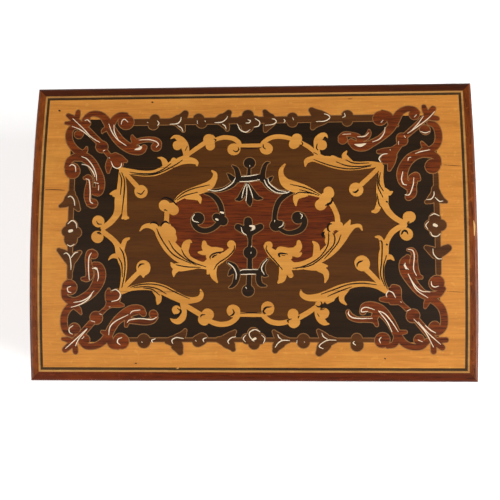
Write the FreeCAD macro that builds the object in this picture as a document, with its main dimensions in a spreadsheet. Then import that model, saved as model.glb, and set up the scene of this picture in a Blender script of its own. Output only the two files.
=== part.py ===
"""Wooden puzzle box: a crowned, inlaid lid on a veneered case, with its key in a hidden drawer.

The origin is under the middle of the box on the surface it stands on, in millimetres. +X runs
along the box to its right end, +Y to the hinges at the back and +Z up.
"""
import FreeCAD, Part
import math
import os

import Sketcher

V = FreeCAD.Vector
TOUCH = 0.001

SIZES = {
    # Whole box
    "lid_length": 150.0,
    "lid_width": 101.4,
    "lid_height": 18.0,
    "crown_rise": 5.7,
    "sweep_spare": 2.0,
    "overhang": 2.0,
    "seam_height": 46.0,
    "seam_gap": 0.15,
    # Boards
    "wall_thick": 9.0,
    "corner_rebate": 4.5,
    "veneer_thick": 0.8,
    "stave_thick": 4.7,
    "front_joint": 20.5,
    "back_joint": 21.5,
    # Lid edge
    "lipping_width": 3.0,
    "lipping_round": 1.2,
    "light_string": 0.65,
    "dark_string": 0.9,
    # Marquetry grounds
    "border_left": 8.45,
    "border_right": 8.15,
    "border_front": 8.45,
    "border_back": 7.35,
    "ground_corner": 3.0,
    "cartouche_end_x": 50.5,
    "cartouche_end_y": 0.8,
    "cartouche_end_arc": 19.0,
    "cartouche_corner_x": 44.5,
    "cartouche_corner_y": 21.0,
    "cartouche_side_arc": 26.6,
    "cartouche_knee_x": 21.5,
    "cartouche_knee_y": 25.0,
    "cartouche_ball_x": 14.0,
    "cartouche_ball_y": 30.5,
    "cartouche_bow_arc": 7.1,
    "cartouche_bar_x": 4.5,
    "cartouche_bar_y": 28.8,
    "centre_side_x": 28.3,
    "centre_side_low": 2.0,
    "centre_side_high": 5.0,
    "centre_shoulder_arc": 8.0,
    "centre_leaf_x": 25.5,
    "centre_leaf_y": 10.2,
    "centre_neck_x": 14.0,
    "centre_neck_y": 13.2,
    "centre_neck_arc": 8.0,
    "centre_bar_x": 4.0,
    "centre_bar_y": 17.6,
    "centre_belly_arc": 18.5,
    "centre_chin_x": 13.0,
    "centre_chin_y": 13.0,
    "centre_beak_x": 7.0,
    "centre_beak_y": 10.6,
    "centre_foot_x": 4.0,
    "centre_foot_y": 14.0,
    # Base
    "plinth_height": 13.0,
    "plinth_round": 1.8,
    "bottom_thick": 3.0,
    "bottom_ledge": 4.0,
    "floor_thick": 3.0,
    "floor_tongue": 3.0,
    "foot_gap": 0.3,
    # Hidden drawer and key
    "drawer_space": 9.0,
    "drawer_width": 30.0,
    "drawer_length": 52.0,
    "slide_gap": 0.15,
    "guide_width": 6.0,
    "stop_length": 6.0,
    "recess_floor": 2.6,
    "recess_end": 3.0,
    "recess_gap": 0.4,
    "bow_radius": 6.2,
    "bow_thick": 2.0,
    "bow_hole": 1.5,
    "shank_radius": 1.6,
    "shank_length": 27.0,
    "barrel_bore": 0.8,
    "barrel_depth": 8.0,
    "bit_length": 3.8,
    "bit_reach": 4.4,
    "bit_thick": 1.3,
    "rest_gap": 0.05,
    # Frieze and keyhole shutter
    "frieze_height": 9.0,
    "frieze_drop": 2.0,
    "frieze_thick": 3.0,
    "tongue_lip": 0.8,
    "tongue_thick": 1.4,
    "shutter_split": 9.0,
    "shutter_travel": 18.0,
    "stop_pin_inset": 3.2,
    "stop_pin_radius": 0.6,
    "stop_pin_reach": 1.0,
    "stop_pin_set": 4.0,
    "stop_slot_depth": 1.2,
    # Lock
    "lock_length": 34.0,
    "lock_height": 20.0,
    "lock_depth": 5.0,
    "lock_plate": 0.6,
    "cover_margin": 3.0,
    "key_drop": 5.5,
    "keyhole_radius": 1.7,
    "keyhole_slot": 1.5,
    "keyhole_reach": 4.4,
    "drill_pin_radius": 0.7,
    "drill_pin_reach": 5.2,
    "bolt_thick": 1.2,
    "bolt_throw": 4.0,
    "bar_high_drop": 8.0,
    "bar_end_gap": 0.6,
    "finger_low_drop": 5.2,
    "finger_high_drop": 2.8,
    "arm_width": 2.6,
    "talon_depth": 2.5,
    "talon_width": 4.4,
    "staple_pitch": 9.0,
    "staple_thick": 1.6,
    "staple_wide": 3.0,
    "eye_gap": 0.2,
    "staple_toe": 1.2,
    "tip_gap": 0.6,
    "slot_gap": 0.3,
    "link_plate_thick": 1.0,
    # Hinges
    "hinge_inset": 30.0,
    "hinge_length": 20.0,
    "leaf_width": 8.0,
    "leaf_thick": 0.95,
    "barrel_radius": 1.25,
    "barrel_set": 0.6,
    "barrel_clearance": 0.2,
    "knuckle_gap": 0.2,
    "hinge_pin_radius": 0.6,
    "hinge_pin_gap": 0.05,
    # Brads
    "brad_neck_radius": 0.55,
    "brad_head_radius": 1.1,
    "brad_length": 5.0,
    "hinge_brad_spread": 6.0,
    "hinge_brad_back": 5.3,
    "link_brad_offset": 14.0,
    "cover_brad_inset": 1.5,
    "cover_brad_drop": 3.0,
}

doc = FreeCAD.newDocument("puzzle_box")
sheet = doc.addObject("Spreadsheet::Sheet", "sizes")
for row, (alias, value) in enumerate(SIZES.items(), start=1):
    sheet.set(f"A{row}", alias)
    sheet.set(f"B{row}", str(value))
    sheet.setAlias(f"B{row}", alias)
doc.recompute()


class Size:
    """A length that carries its value and the sheet formula which gives it."""

    def __init__(self, formula, value):
        self.formula = formula
        self.value = value

    def __add__(self, other):
        other = as_size(other)
        return Size(f"({self.formula} + {other.formula})", self.value + other.value)

    def __sub__(self, other):
        other = as_size(other)
        return Size(f"({self.formula} - {other.formula})", self.value - other.value)

    def __mul__(self, other):
        other = as_size(other)
        return Size(f"({self.formula} * {other.formula})", self.value * other.value)

    def __truediv__(self, other):
        other = as_size(other)
        return Size(f"({self.formula} / {other.formula})", self.value / other.value)

    def __radd__(self, other):
        return as_size(other) + self

    def __rsub__(self, other):
        return as_size(other) - self

    def __rmul__(self, other):
        return as_size(other) * self

    def __neg__(self):
        return as_size(0) - self

    def root(self):
        return Size(f"sqrt({self.formula})", math.sqrt(self.value))

    def arc_sine(self):
        return Size(f"(asin({self.formula}) / 1 deg)", math.degrees(math.asin(self.value)))


def as_size(amount):
    return amount if isinstance(amount, Size) else Size(f"({amount})", float(amount))


def of_sheet(alias):
    return Size(f"sizes.{alias}", float(sheet.get(alias)))


def bind(thing, path, amount):
    thing.setExpression(path, as_size(amount).formula)


def block(name, x, y, z):
    """A box between two values along each axis."""
    box = doc.addObject("Part::Box", name)
    for axis, side, (low, high) in zip("xyz", ("Length", "Width", "Height"), (x, y, z)):
        bind(box, side, as_size(high) - low)
        bind(box, f"Placement.Base.{axis}", low)
    return box


TURN_TO = {
    "x": FreeCAD.Rotation(V(0, 1, 0), 90),
    "y": FreeCAD.Rotation(V(1, 0, 0), -90),
    "z": FreeCAD.Rotation(),
}


def along(thing, axis, foot):
    """Turns a shape made along Z to lie along an axis, with its foot at a point."""
    thing.Placement = FreeCAD.Placement(V(), TURN_TO[axis])
    for name, amount in zip("xyz", foot):
        bind(thing, f"Placement.Base.{name}", amount)


def rod(name, axis, foot, length, radius):
    """A round bar from its foot along an axis."""
    bar = doc.addObject("Part::Cylinder", name)
    bind(bar, "Radius", radius)
    bind(bar, "Height", length)
    along(bar, axis, foot)
    return bar


def cut(name, base, *tools):
    result = doc.addObject("Part::Cut", name)
    result.Base = base
    result.Tool = tools[0] if len(tools) == 1 else fuse(f"{name}_tools", *tools)
    return result


def fuse(name, *shapes):
    result = doc.addObject("Part::MultiFuse", name)
    result.Shapes = list(shapes)
    return result


def common(name, *shapes):
    result = doc.addObject("Part::MultiCommon", name)
    result.Shapes = list(shapes)
    return result


def group(name, *shapes):
    result = doc.addObject("Part::Compound", name)
    result.Links = list(shapes)
    return result


SKETCH_AXIS = {"XY_Plane": "z", "XZ_Plane": "y", "YZ_Plane": "x"}


def drawn_body(name, plane, corners):
    """A body and its sketch, whose outline is bound corner by corner to the sheet.

    Each corner is (u, v), or (u, v, radius) where an arc runs on to the next corner: a positive
    radius turns left along the outline, a negative one turns right.
    """
    body = doc.addObject("PartDesign::Body", name)
    sketch = body.newObject("Sketcher::SketchObject", f"{name}_outline")
    support = [feature for feature in body.Origin.OriginFeatures if feature.Role == plane]
    sketch.AttachmentSupport = (support[0], [""])
    sketch.MapMode = "FlatFace"
    points = [V(as_size(corner[0]).value, as_size(corner[1]).value, 0) for corner in corners]
    count = len(corners)
    first_end = []
    for index, corner in enumerate(corners):
        here = points[index]
        there = points[(index + 1) % count]
        if len(corner) == 2:
            sketch.addGeometry(Part.LineSegment(here, there), False)
            first_end.append(1)
            continue
        radius = as_size(corner[2]).value
        chord = there - here
        side = V(-chord.y, chord.x, 0).normalize() * math.copysign(1, radius)
        centre = (here + there) * 0.5 + side * math.sqrt(radius ** 2 - chord.Length ** 2 / 4)
        start, end = (here, there) if radius > 0 else (there, here)
        start_angle = math.atan2(start.y - centre.y, start.x - centre.x)
        end_angle = math.atan2(end.y - centre.y, end.x - centre.x)
        circle = Part.Circle(centre, V(0, 0, 1), abs(radius))
        sketch.addGeometry(Part.ArcOfCircle(circle, start_angle, end_angle), False)
        first_end.append(1 if radius > 0 else 2)
    for index, corner in enumerate(corners):
        following = (index + 1) % count
        last_end = 3 - first_end[index]
        sketch.addConstraint(
            Sketcher.Constraint("Coincident", index, last_end, following, first_end[following]))
        for kind, amount in (("DistanceX", corner[0]), ("DistanceY", corner[1])):
            place = sketch.addConstraint(Sketcher.Constraint(
                kind, -1, 1, index, first_end[index], as_size(amount).value))
            bind(sketch, f"Constraints[{place}]", amount)
        if len(corner) == 3:
            radius = corner[2] if corner[2].value > 0 else -corner[2]
            place = sketch.addConstraint(Sketcher.Constraint("Radius", index, radius.value))
            bind(sketch, f"Constraints[{place}]", radius)
    return body, sketch


def padded(name, plane, corners, low, high):
    """A body padded from an outline, between two heights along the sketch's normal."""
    body, sketch = drawn_body(name, plane, corners)
    pad = body.newObject("PartDesign::Pad", f"{name}_pad")
    pad.Profile = sketch
    bind(pad, "Length", as_size(high) - low)
    bind(body, f"Placement.Base.{SKETCH_AXIS[plane]}", high if plane == "XZ_Plane" else low)
    return body


def turned(name, section, axis_z, angle):
    """A body turned about an axis along X: its section is given as (x, distance from the axis)."""
    body, sketch = drawn_body(name, "XZ_Plane", section)
    turn = body.newObject("PartDesign::Revolution", f"{name}_turn")
    turn.Profile = sketch
    turn.ReferenceAxis = (sketch, ["H_Axis"])
    turn.Midplane = True
    bind(turn, "Angle", angle)
    bind(body, "Placement.Base.z", axis_z)
    return body


def mitred_strip(name, side, z, half_length, half_width, width):
    """One side of a mitred frame: a strip of the given width inside an outer rectangle."""
    reach, distance = half_length, half_width
    if side in ("left", "right"):
        reach, distance = half_width, half_length
    strip = doc.addObject("Part::Wedge", name)
    bind(strip, "Ymin", -distance)
    bind(strip, "Ymax", width - distance)
    bind(strip, "Xmin", -reach)
    bind(strip, "Xmax", reach)
    bind(strip, "X2min", width - reach)
    bind(strip, "X2max", reach - width)
    for low_name, high_name in (("Zmin", "Zmax"), ("Z2min", "Z2max")):
        bind(strip, low_name, z[0])
        bind(strip, high_name, z[1])
    quarter_turns = ("front", "right", "back", "left").index(side)
    strip.Placement.Rotation = FreeCAD.Rotation(V(0, 0, 1), 90 * quarter_turns)
    return strip


def rounded(name, base, radius, on_edge):
    """Rounds the edges of a shape on which every sampled point passes a test."""
    doc.recompute()
    chosen = []
    for number, edge in enumerate(base.Shape.Edges, start=1):
        if all(on_edge(point) for point in edge.discretize(3)):
            chosen.append((number, radius.value, radius.value))
    result = doc.addObject("Part::Fillet", name)
    result.Base = base
    result.Edges = chosen
    return result


def brad(name, axis, head, outward):
    """A cut brad: a countersunk head, flush at a point, on a square shank that runs the other way."""
    place = "xyz".index(axis)
    half_shank = brad_neck_radius / as_size(2).root()
    spans = [(middle - half_shank, middle + half_shank) for middle in head]
    spans[place] = (head[place], head[place] + brad_length)
    cone = doc.addObject("Part::Cone", f"{name}_head")
    cone_foot = list(head)
    sink = brad_head_radius - brad_neck_radius
    if outward > 0:
        spans[place] = (head[place] - brad_length, head[place])
        cone_foot[place] = head[place] - sink
    bind(cone, "Radius1", brad_neck_radius if outward > 0 else brad_head_radius)
    bind(cone, "Radius2", brad_head_radius if outward > 0 else brad_neck_radius)
    bind(cone, "Height", sink)
    along(cone, axis, cone_foot)
    return fuse(name, block(f"{name}_shank", *spans), cone)


PIECES = []


def piece(thing, label):
    """Names a finished piece of the box, and so its file."""
    thing.Label = label
    PIECES.append(thing)
    return thing


# Shared outlines: the lid's edge, the veneered faces, the wooden cores and the inside
half_length = of_sheet("lid_length") / 2
half_width = of_sheet("lid_width") / 2
overhang = of_sheet("overhang")
veneer = of_sheet("veneer_thick")
wall = of_sheet("wall_thick")
face_x = half_length - overhang
face_y = half_width - overhang
core_x = face_x - veneer
core_y = face_y - veneer
inner_x = core_x - wall
inner_y = core_y - wall
rebate_y = core_y - of_sheet("corner_rebate")
seam = of_sheet("seam_height")
lid_low = seam + of_sheet("seam_gap")
slide_gap = of_sheet("slide_gap")

# The crown is part of a cylinder whose axis runs along the box, far below it
rise = of_sheet("crown_rise")
box_height = seam + of_sheet("lid_height")
crown_radius = (half_width * half_width + rise * rise) / (2 * rise)
crown_axis = box_height - crown_radius
skin_radius = crown_radius - veneer
under_radius = skin_radius - of_sheet("stave_thick")
crown_sweep = 2 * (half_width / under_radius).arc_sine() + of_sheet("sweep_spare")


def on_crown(radius, y):
    """Height of a crown surface at a distance from the middle of the lid."""
    return crown_axis + (radius * radius - y * y).root()


def crown_rod(name, radius):
    return rod(name, "x", (-half_length, 0, crown_axis), half_length * 2, radius)


lid_under = crown_rod("lid_under", under_radius)
lid_board = cut("lid_board", crown_rod("lid_outer", crown_radius), lid_under)
lid_skin = cut("lid_skin", crown_rod("skin_outer", crown_radius), crown_rod("skin_inner", skin_radius))

# Brads, used as pieces and as the cutters of their own holes
brad_neck_radius = of_sheet("brad_neck_radius")
brad_head_radius = of_sheet("brad_head_radius")
brad_length = of_sheet("brad_length")

# Butt hinges, two brass ones let into the wall top and the lid rim, with the barrel behind
hinge_offset = half_length - of_sheet("hinge_inset")
half_hinge = of_sheet("hinge_length") / 2
leaf_thick = of_sheet("leaf_thick")
barrel_radius = of_sheet("barrel_radius")
hinge_pin_radius = of_sheet("hinge_pin_radius")
hinge_y = face_y + of_sheet("barrel_set")
hinge_z = seam + of_sheet("seam_gap") / 2
leaf_front = hinge_y - of_sheet("leaf_width")
barrel_room = barrel_radius + of_sheet("barrel_clearance")
half_middle_knuckle = half_hinge / 3
hinge_brad_y = hinge_y - of_sheet("hinge_brad_back")

case_leaves, lid_leaves, hinge_pins = [], [], []
case_hinge_brads, lid_hinge_brads = [], []
case_hinge_rooms, lid_hinge_rooms = [], []
for hand, sign in (("left", -1), ("right", 1)):
    middle = sign * hinge_offset
    span = (middle - half_hinge, middle + half_hinge)
    split = of_sheet("knuckle_gap") / 2
    knuckle_low = middle - half_middle_knuckle
    knuckle_high = middle + half_middle_knuckle
    hinge_at = (span[0], hinge_y, hinge_z)
    bore = rod(f"{hand}_bore", "x", hinge_at, half_hinge * 2,
               hinge_pin_radius + of_sheet("hinge_pin_gap"))
    hinge_pins.append(rod(f"{hand}_pin", "x", hinge_at, half_hinge * 2, hinge_pin_radius))
    leaf_levels = {"case": (seam - leaf_thick, seam), "lid": (lid_low, lid_low + leaf_thick)}
    for body, level in leaf_levels.items():
        plate = block(f"{hand}_{body}_plate", span, (leaf_front, hinge_y), level)
        if body == "case":
            knuckles = fuse(
                f"{hand}_case_knuckles",
                rod(f"{hand}_knuckle_low", "x", hinge_at, knuckle_low - split - span[0], barrel_radius),
                rod(f"{hand}_knuckle_high", "x", (knuckle_high + split, hinge_y, hinge_z),
                    span[1] - knuckle_high - split, barrel_radius))
            rooms = [(knuckle_low - split, knuckle_high + split)]
        else:
            knuckles = rod(f"{hand}_middle_knuckle", "x", (knuckle_low + split, hinge_y, hinge_z),
                           half_middle_knuckle * 2 - split * 2, barrel_radius)
            rooms = [(span[0], knuckle_low + split), (knuckle_high - split, span[1])]
        clearances = [block(f"{hand}_{body}_room_{count}", room, (hinge_y - barrel_room, hinge_y), level)
                      for count, room in enumerate(rooms)]
        trimmed = cut(f"{hand}_{body}_trimmed", plate, *clearances)
        outward = 1 if body == "case" else -1
        head_z = level[1] if body == "case" else level[0]
        brads = []
        for end in (-1, 1):
            head = (middle + end * of_sheet("hinge_brad_spread"), hinge_brad_y, head_z)
            brads.append(brad(f"{hand}_{body}_brad_{end + 1}", "z", head, outward))
        leaf = cut(f"{hand}_{body}_leaf", fuse(f"{hand}_{body}_blank", trimmed, knuckles), bore, *brads)
        (case_leaves if body == "case" else lid_leaves).append(leaf)
        (case_hinge_brads if body == "case" else lid_hinge_brads).extend(brads)
        mortise = block(f"{hand}_{body}_mortise", span, (leaf_front, half_width), level)
        notch_span = (span[0] - slide_gap, span[1] + slide_gap)
        notch_level = (hinge_z - barrel_room, seam) if body == "case" else (lid_low, hinge_z + barrel_room)
        notch = block(f"{hand}_{body}_notch", notch_span, (hinge_y - barrel_room, half_width), notch_level)
        (case_hinge_rooms if body == "case" else lid_hinge_rooms).extend((mortise, notch))

# Levels and places of the frieze, the lock and the base
frieze_top = seam - of_sheet("frieze_drop")
frieze_low = frieze_top - of_sheet("frieze_height")
frieze_middle = (frieze_top + frieze_low) / 2
frieze_x = face_x - of_sheet("frieze_thick")
frieze_y = face_y - of_sheet("frieze_thick")
tongue_lip = of_sheet("tongue_lip")
tongue_front = -frieze_y - of_sheet("tongue_thick")
shutter_left = -of_sheet("shutter_split")

plate_thick = of_sheet("lock_plate")
half_lock = of_sheet("lock_length") / 2
lock_low = seam - of_sheet("lock_height")
lock_back = -inner_y
lock_front = lock_back - of_sheet("lock_depth")
cover_front = lock_back - plate_thick
lock_middle = (lock_front + plate_thick + cover_front) / 2
half_cover = half_lock + of_sheet("cover_margin")
cover_low = lock_low - of_sheet("cover_margin")
key_z = seam - of_sheet("key_drop")

bottom_thick = of_sheet("bottom_thick")
drawer_roof = bottom_thick + of_sheet("drawer_space")
floor_top = drawer_roof + of_sheet("floor_thick")
plinth_top = of_sheet("plinth_height")
half_drawer = of_sheet("drawer_width") / 2
drawer_side = half_drawer + slide_gap


def keyhole(name, y):
    """A round hole with a slot below it, cut from front to back."""
    radius = of_sheet("keyhole_radius")
    half_slot = of_sheet("keyhole_slot") / 2
    eye = rod(f"{name}_eye", "y", (0, y[0], key_z), y[1] - y[0], radius)
    slot = block(f"{name}_slot", (-half_slot, half_slot), y, (key_z - of_sheet("keyhole_reach"), key_z))
    return fuse(name, eye, slot)


# Lock cover brads are placed before the wall they go into
cover_brads = []
brad_inset = of_sheet("cover_brad_inset")
for across in (-1, 1):
    for level_name, level in (("low", cover_low + brad_inset),
                              ("high", seam - of_sheet("cover_brad_drop"))):
        head = (across * (half_cover - brad_inset), lock_back, level)
        cover_brads.append(brad(f"cover_brad_{level_name}_{across + 1}", "y", head, 1))

# Case walls: front and back run the full length, the ends are held in rebates between them
frieze_groove = cut(
    "frieze_groove",
    block("frieze_outer", (-face_x, face_x), (-face_y, face_y), (frieze_low, frieze_top)),
    block("frieze_inner", (-frieze_x, frieze_x), (-frieze_y, frieze_y), (frieze_low, frieze_top)))
floor_sheet = block(
    "floor_sheet",
    (-inner_x - of_sheet("floor_tongue"), inner_x + of_sheet("floor_tongue")),
    (-inner_y - of_sheet("floor_tongue"), inner_y + of_sheet("floor_tongue")),
    (drawer_roof, floor_top))
bottom_sheet = block(
    "bottom_sheet",
    (-inner_x - of_sheet("bottom_ledge"), inner_x + of_sheet("bottom_ledge")),
    (-inner_y - of_sheet("bottom_ledge"), inner_y + of_sheet("bottom_ledge")),
    (0, bottom_thick))


def long_board(name, back, z):
    """A front or back board with a rebate at each end for the end board."""
    sign = 1 if back else -1
    low, high = sorted((sign * inner_y, sign * core_y), key=lambda amount: amount.value)
    board = block(f"{name}_blank", (-core_x, core_x), (low, high), z)
    low, high = sorted((sign * inner_y, sign * rebate_y), key=lambda amount: amount.value)
    ends = [block(f"{name}_{hand}_rebate", x, (low, high), z)
            for hand, x in (("left", (-core_x, -inner_x)), ("right", (inner_x, core_x)))]
    return cut(f"{name}_board", board, *ends)


def end_board(name, right, z):
    sign = 1 if right else -1
    low, high = sorted((sign * inner_x, sign * core_x), key=lambda amount: amount.value)
    return block(f"{name}_blank", (low, high), (-rebate_y, rebate_y), z)


case_z = (0, seam)
lock_room = block("lock_room", (-half_lock, half_lock), (lock_front, lock_back), (lock_low, seam))
cover_blank = block("cover_blank", (-half_cover, half_cover), (cover_front, lock_back), (cover_low, seam))
tongue_groove = block("tongue_groove", (shutter_left, face_x), (tongue_front, -frieze_y),
                      (frieze_low - tongue_lip, frieze_top + tongue_lip))
stop_pin_x = inner_x - of_sheet("stop_pin_inset")
stop_pin_radius = of_sheet("stop_pin_radius")
stop_pin = rod("stop_pin", "y", (stop_pin_x, -frieze_y - of_sheet("stop_pin_reach"), frieze_middle),
               of_sheet("stop_pin_reach") + of_sheet("stop_pin_set"), stop_pin_radius)
piece(cut("front_board", long_board("front_wall", False, case_z), frieze_groove, floor_sheet, bottom_sheet,
          lock_room, cover_blank, tongue_groove, keyhole("wall_keyhole", (-frieze_y, lock_front)),
          stop_pin, *cover_brads), "front_wall")
piece(cut("back_board", long_board("back_wall", True, case_z), frieze_groove, floor_sheet, bottom_sheet,
          *case_hinge_rooms, *case_hinge_brads), "back_wall")
drawer_mouth = block("drawer_mouth", (-core_x, -inner_x), (-drawer_side, drawer_side),
                     (bottom_thick, drawer_roof))
piece(cut("left_board", end_board("left_wall", False, case_z), frieze_groove, floor_sheet, bottom_sheet,
          drawer_mouth), "left_wall")
piece(cut("right_board", end_board("right_wall", True, case_z), frieze_groove, floor_sheet, bottom_sheet),
      "right_wall")
piece(stop_pin, "shutter_stop_pin")

# Floor of the inside, bottom of the box, and what guides the hidden drawer between them
piece(floor_sheet, "floor_panel")
piece(bottom_sheet, "bottom_panel")
drawer_end = of_sheet("drawer_length") - core_x
guides = []
for hand, sign in (("front", -1), ("back", 1)):
    near = sign * drawer_side
    far = sign * (drawer_side + of_sheet("guide_width"))
    low, high = sorted((near, far), key=lambda amount: amount.value)
    guides.append(block(f"guide_{hand}", (-inner_x, drawer_end + slide_gap + of_sheet("stop_length")),
                        (low, high), (bottom_thick, drawer_roof)))
piece(group("guides", *guides), "drawer_guides")
piece(block("stop_block", (drawer_end + slide_gap, drawer_end + slide_gap + of_sheet("stop_length")),
            (-drawer_side, drawer_side), (bottom_thick, drawer_roof)), "drawer_stop")

# Plinth: mitred strips with a rounded upper edge; the left one is the front of the hidden drawer
plinth_thick = half_length - core_x


def plinth(name, side, z_low, end_gap):
    strip = mitred_strip(f"{name}_blank", side, (z_low, plinth_top), half_length, half_width - end_gap,
                         plinth_thick)
    reach = half_length.value if side in ("left", "right") else half_width.value
    across = "x" if side in ("left", "right") else "y"
    return rounded(name, strip, of_sheet("plinth_round"), lambda point: (
        abs(abs(getattr(point, across)) - reach) < TOUCH and abs(point.z - plinth_top.value) < TOUCH))


for side in ("front", "back", "right"):
    piece(plinth(f"{side}_strip", side, 0, 0), f"plinth_{side}")
piece(plinth("left_strip", "left", of_sheet("foot_gap"), slide_gap), "drawer_front")

# Face veneers of the case, above the plinth and on both sides of the frieze
face_z = (plinth_top, seam)
piece(cut("front_sheet", block("front_face", (-face_x, face_x), (-face_y, -core_y), face_z), frieze_groove),
      "front_veneer")
piece(cut("back_sheet", block("back_face", (-face_x, face_x), (core_y, face_y), face_z), frieze_groove,
          *case_hinge_rooms), "back_veneer")
piece(cut("left_sheet", block("left_face", (-face_x, -core_x), (-core_y, core_y), face_z), frieze_groove),
      "left_veneer")
tongue_way = block("tongue_way", (core_x, face_x), (-core_y, -frieze_y),
                   (frieze_low - tongue_lip, frieze_top + tongue_lip))
piece(cut("right_sheet", block("right_face", (core_x, face_x), (-core_y, core_y), face_z), frieze_groove,
          tongue_way), "right_veneer")

# Frieze strips: the front one is cut in two, and its right half slides off the keyhole
frieze_z = (frieze_low, frieze_top)
piece(block("front_strip_fixed", (-face_x, shutter_left), (-face_y, -frieze_y), frieze_z), "front_frieze")
piece(block("back_strip_fixed", (-face_x, face_x), (frieze_y, face_y), frieze_z), "back_frieze")
piece(block("left_strip_fixed", (-face_x, -frieze_x), (-frieze_y, frieze_y), frieze_z), "left_frieze")
piece(block("right_strip_fixed", (frieze_x, face_x), (slide_gap - frieze_y, frieze_y), frieze_z),
      "right_frieze")
tongue_low = frieze_low - tongue_lip + slide_gap
tongue_high = frieze_top + tongue_lip - slide_gap
strip_low = frieze_low + slide_gap
strip_high = frieze_top - slide_gap
tongue_back = -frieze_y - slide_gap
tongue_shoulder = tongue_front + slide_gap
shutter_blank = padded("shutter_blank", "YZ_Plane", [
    (-face_y, strip_low), (tongue_shoulder, strip_low), (tongue_shoulder, tongue_low),
    (tongue_back, tongue_low), (tongue_back, tongue_high), (tongue_shoulder, tongue_high),
    (tongue_shoulder, strip_high), (-face_y, strip_high)], shutter_left + slide_gap, face_x)
slot_half = stop_pin_radius + slide_gap
stop_slot = block("stop_slot", (stop_pin_x - of_sheet("shutter_travel") - slot_half, stop_pin_x + slot_half),
                  (-frieze_y - of_sheet("stop_slot_depth"), -frieze_y),
                  (frieze_middle - slot_half, frieze_middle + slot_half))
piece(cut("shutter_strip", shutter_blank, stop_slot), "keyhole_shutter")

# Lock case: a folded brass box open at the back, with the keyhole in front and two slots on top
staple_pitch = of_sheet("staple_pitch")
half_staple = of_sheet("staple_thick") / 2
slot_half_width = half_staple + of_sheet("slot_gap")
lock_inside = block("lock_inside", (plate_thick - half_lock, half_lock - plate_thick),
                    (lock_front + plate_thick, cover_front), (lock_low + plate_thick, seam - plate_thick))
staple_slots = [block(f"staple_slot_{sign + 1}",
                      (sign * staple_pitch - slot_half_width, sign * staple_pitch + slot_half_width),
                      (lock_front + plate_thick, cover_front), (seam - plate_thick, seam))
                for sign in (-1, 1)]
lock_blank = block("lock_blank", (-half_lock, half_lock), (lock_front, cover_front), (lock_low, seam))
piece(cut("lock_shell", lock_blank, lock_inside, *staple_slots,
          keyhole("plate_keyhole", (lock_front, lock_front + plate_thick))), "lock_case")
piece(cut("cover_sheet", cover_blank, *cover_brads), "lock_cover")
piece(group("cover_brad_set", *cover_brads), "lock_brads")
piece(rod("drill_pin", "y", (0, cover_front - of_sheet("drill_pin_reach"), key_z),
          of_sheet("drill_pin_reach"), of_sheet("drill_pin_radius")), "lock_drill_pin")

# Bolt: a bar with a talon for the key, and two thin fingers that go through the staples
half_bolt = of_sheet("bolt_thick") / 2
throw = of_sheet("bolt_throw")
bar_low = lock_low + plate_thick + slide_gap
bar_high = seam - of_sheet("bar_high_drop")
finger_low = seam - of_sheet("finger_low_drop")
finger_high = seam - of_sheet("finger_high_drop")
tip_gap = of_sheet("tip_gap")
arm_gap = of_sheet("eye_gap")
bar_left = plate_thick + of_sheet("bar_end_gap") - half_lock
bar_right = half_lock - plate_thick - of_sheet("bar_end_gap") - throw
right_tip = staple_pitch - half_staple - tip_gap
right_arm = staple_pitch - half_staple - throw - arm_gap
right_root = right_arm - of_sheet("arm_width")
left_tip = -staple_pitch - half_staple - tip_gap
left_arm = -staple_pitch - half_staple - throw - arm_gap
talon_right = (of_sheet("talon_width") - throw) / 2
talon_left = talon_right - of_sheet("talon_width")
talon_low = bar_high - of_sheet("talon_depth")
bolt_bar = padded("bolt_bar", "XZ_Plane", [
    (bar_left, bar_low), (bar_right, bar_low), (bar_right, bar_high), (talon_right, bar_high),
    (talon_right, talon_low), (talon_left, talon_low), (talon_left, bar_high), (bar_left, bar_high)],
    lock_front + plate_thick + slide_gap, cover_front - slide_gap)
bolt_fingers = [padded(f"bolt_finger_{hand}", "XZ_Plane", [
    (root, bar_high), (arm, bar_high), (arm, finger_low), (tip, finger_low), (tip, finger_high),
    (root, finger_high)], lock_middle - half_bolt, lock_middle + half_bolt)
    for hand, root, arm, tip in (("left", bar_left, left_arm, left_tip),
                                 ("right", right_root, right_arm, right_tip))]
piece(fuse("bolt_whole", bolt_bar, *bolt_fingers), "lock_bolt")

# Link plate: let into the lid rim, with two staples that hang into the lock
half_wide = of_sheet("staple_wide") / 2
eye_low = finger_low - of_sheet("eye_gap")
eye_high = finger_high + of_sheet("eye_gap")
eye_half = half_bolt + of_sheet("eye_gap")
link_plate = block("link_sheet", (-half_lock, half_lock), (lock_front, lock_back),
                   (lid_low, lid_low + of_sheet("link_plate_thick")))
staples, eyes = [], []
for sign in (-1, 1):
    x = (sign * staple_pitch - half_staple, sign * staple_pitch + half_staple)
    staples.append(block(f"staple_{sign + 1}", x, (lock_middle - half_wide, lock_middle + half_wide),
                         (eye_low - of_sheet("staple_toe"), lid_low)))
    eyes.append(block(f"staple_eye_{sign + 1}", x, (lock_middle - eye_half, lock_middle + eye_half),
                      (eye_low, eye_high)))
link_brads = [brad(f"link_brad_{sign + 1}", "z",
                   (sign * of_sheet("link_brad_offset"), lock_middle, lid_low), -1)
              for sign in (-1, 1)]
piece(cut("link", fuse("link_blank", link_plate, *staples), *eyes, *link_brads), "link_plate")
piece(group("link_brad_set", *link_brads), "link_plate_brads")

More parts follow.
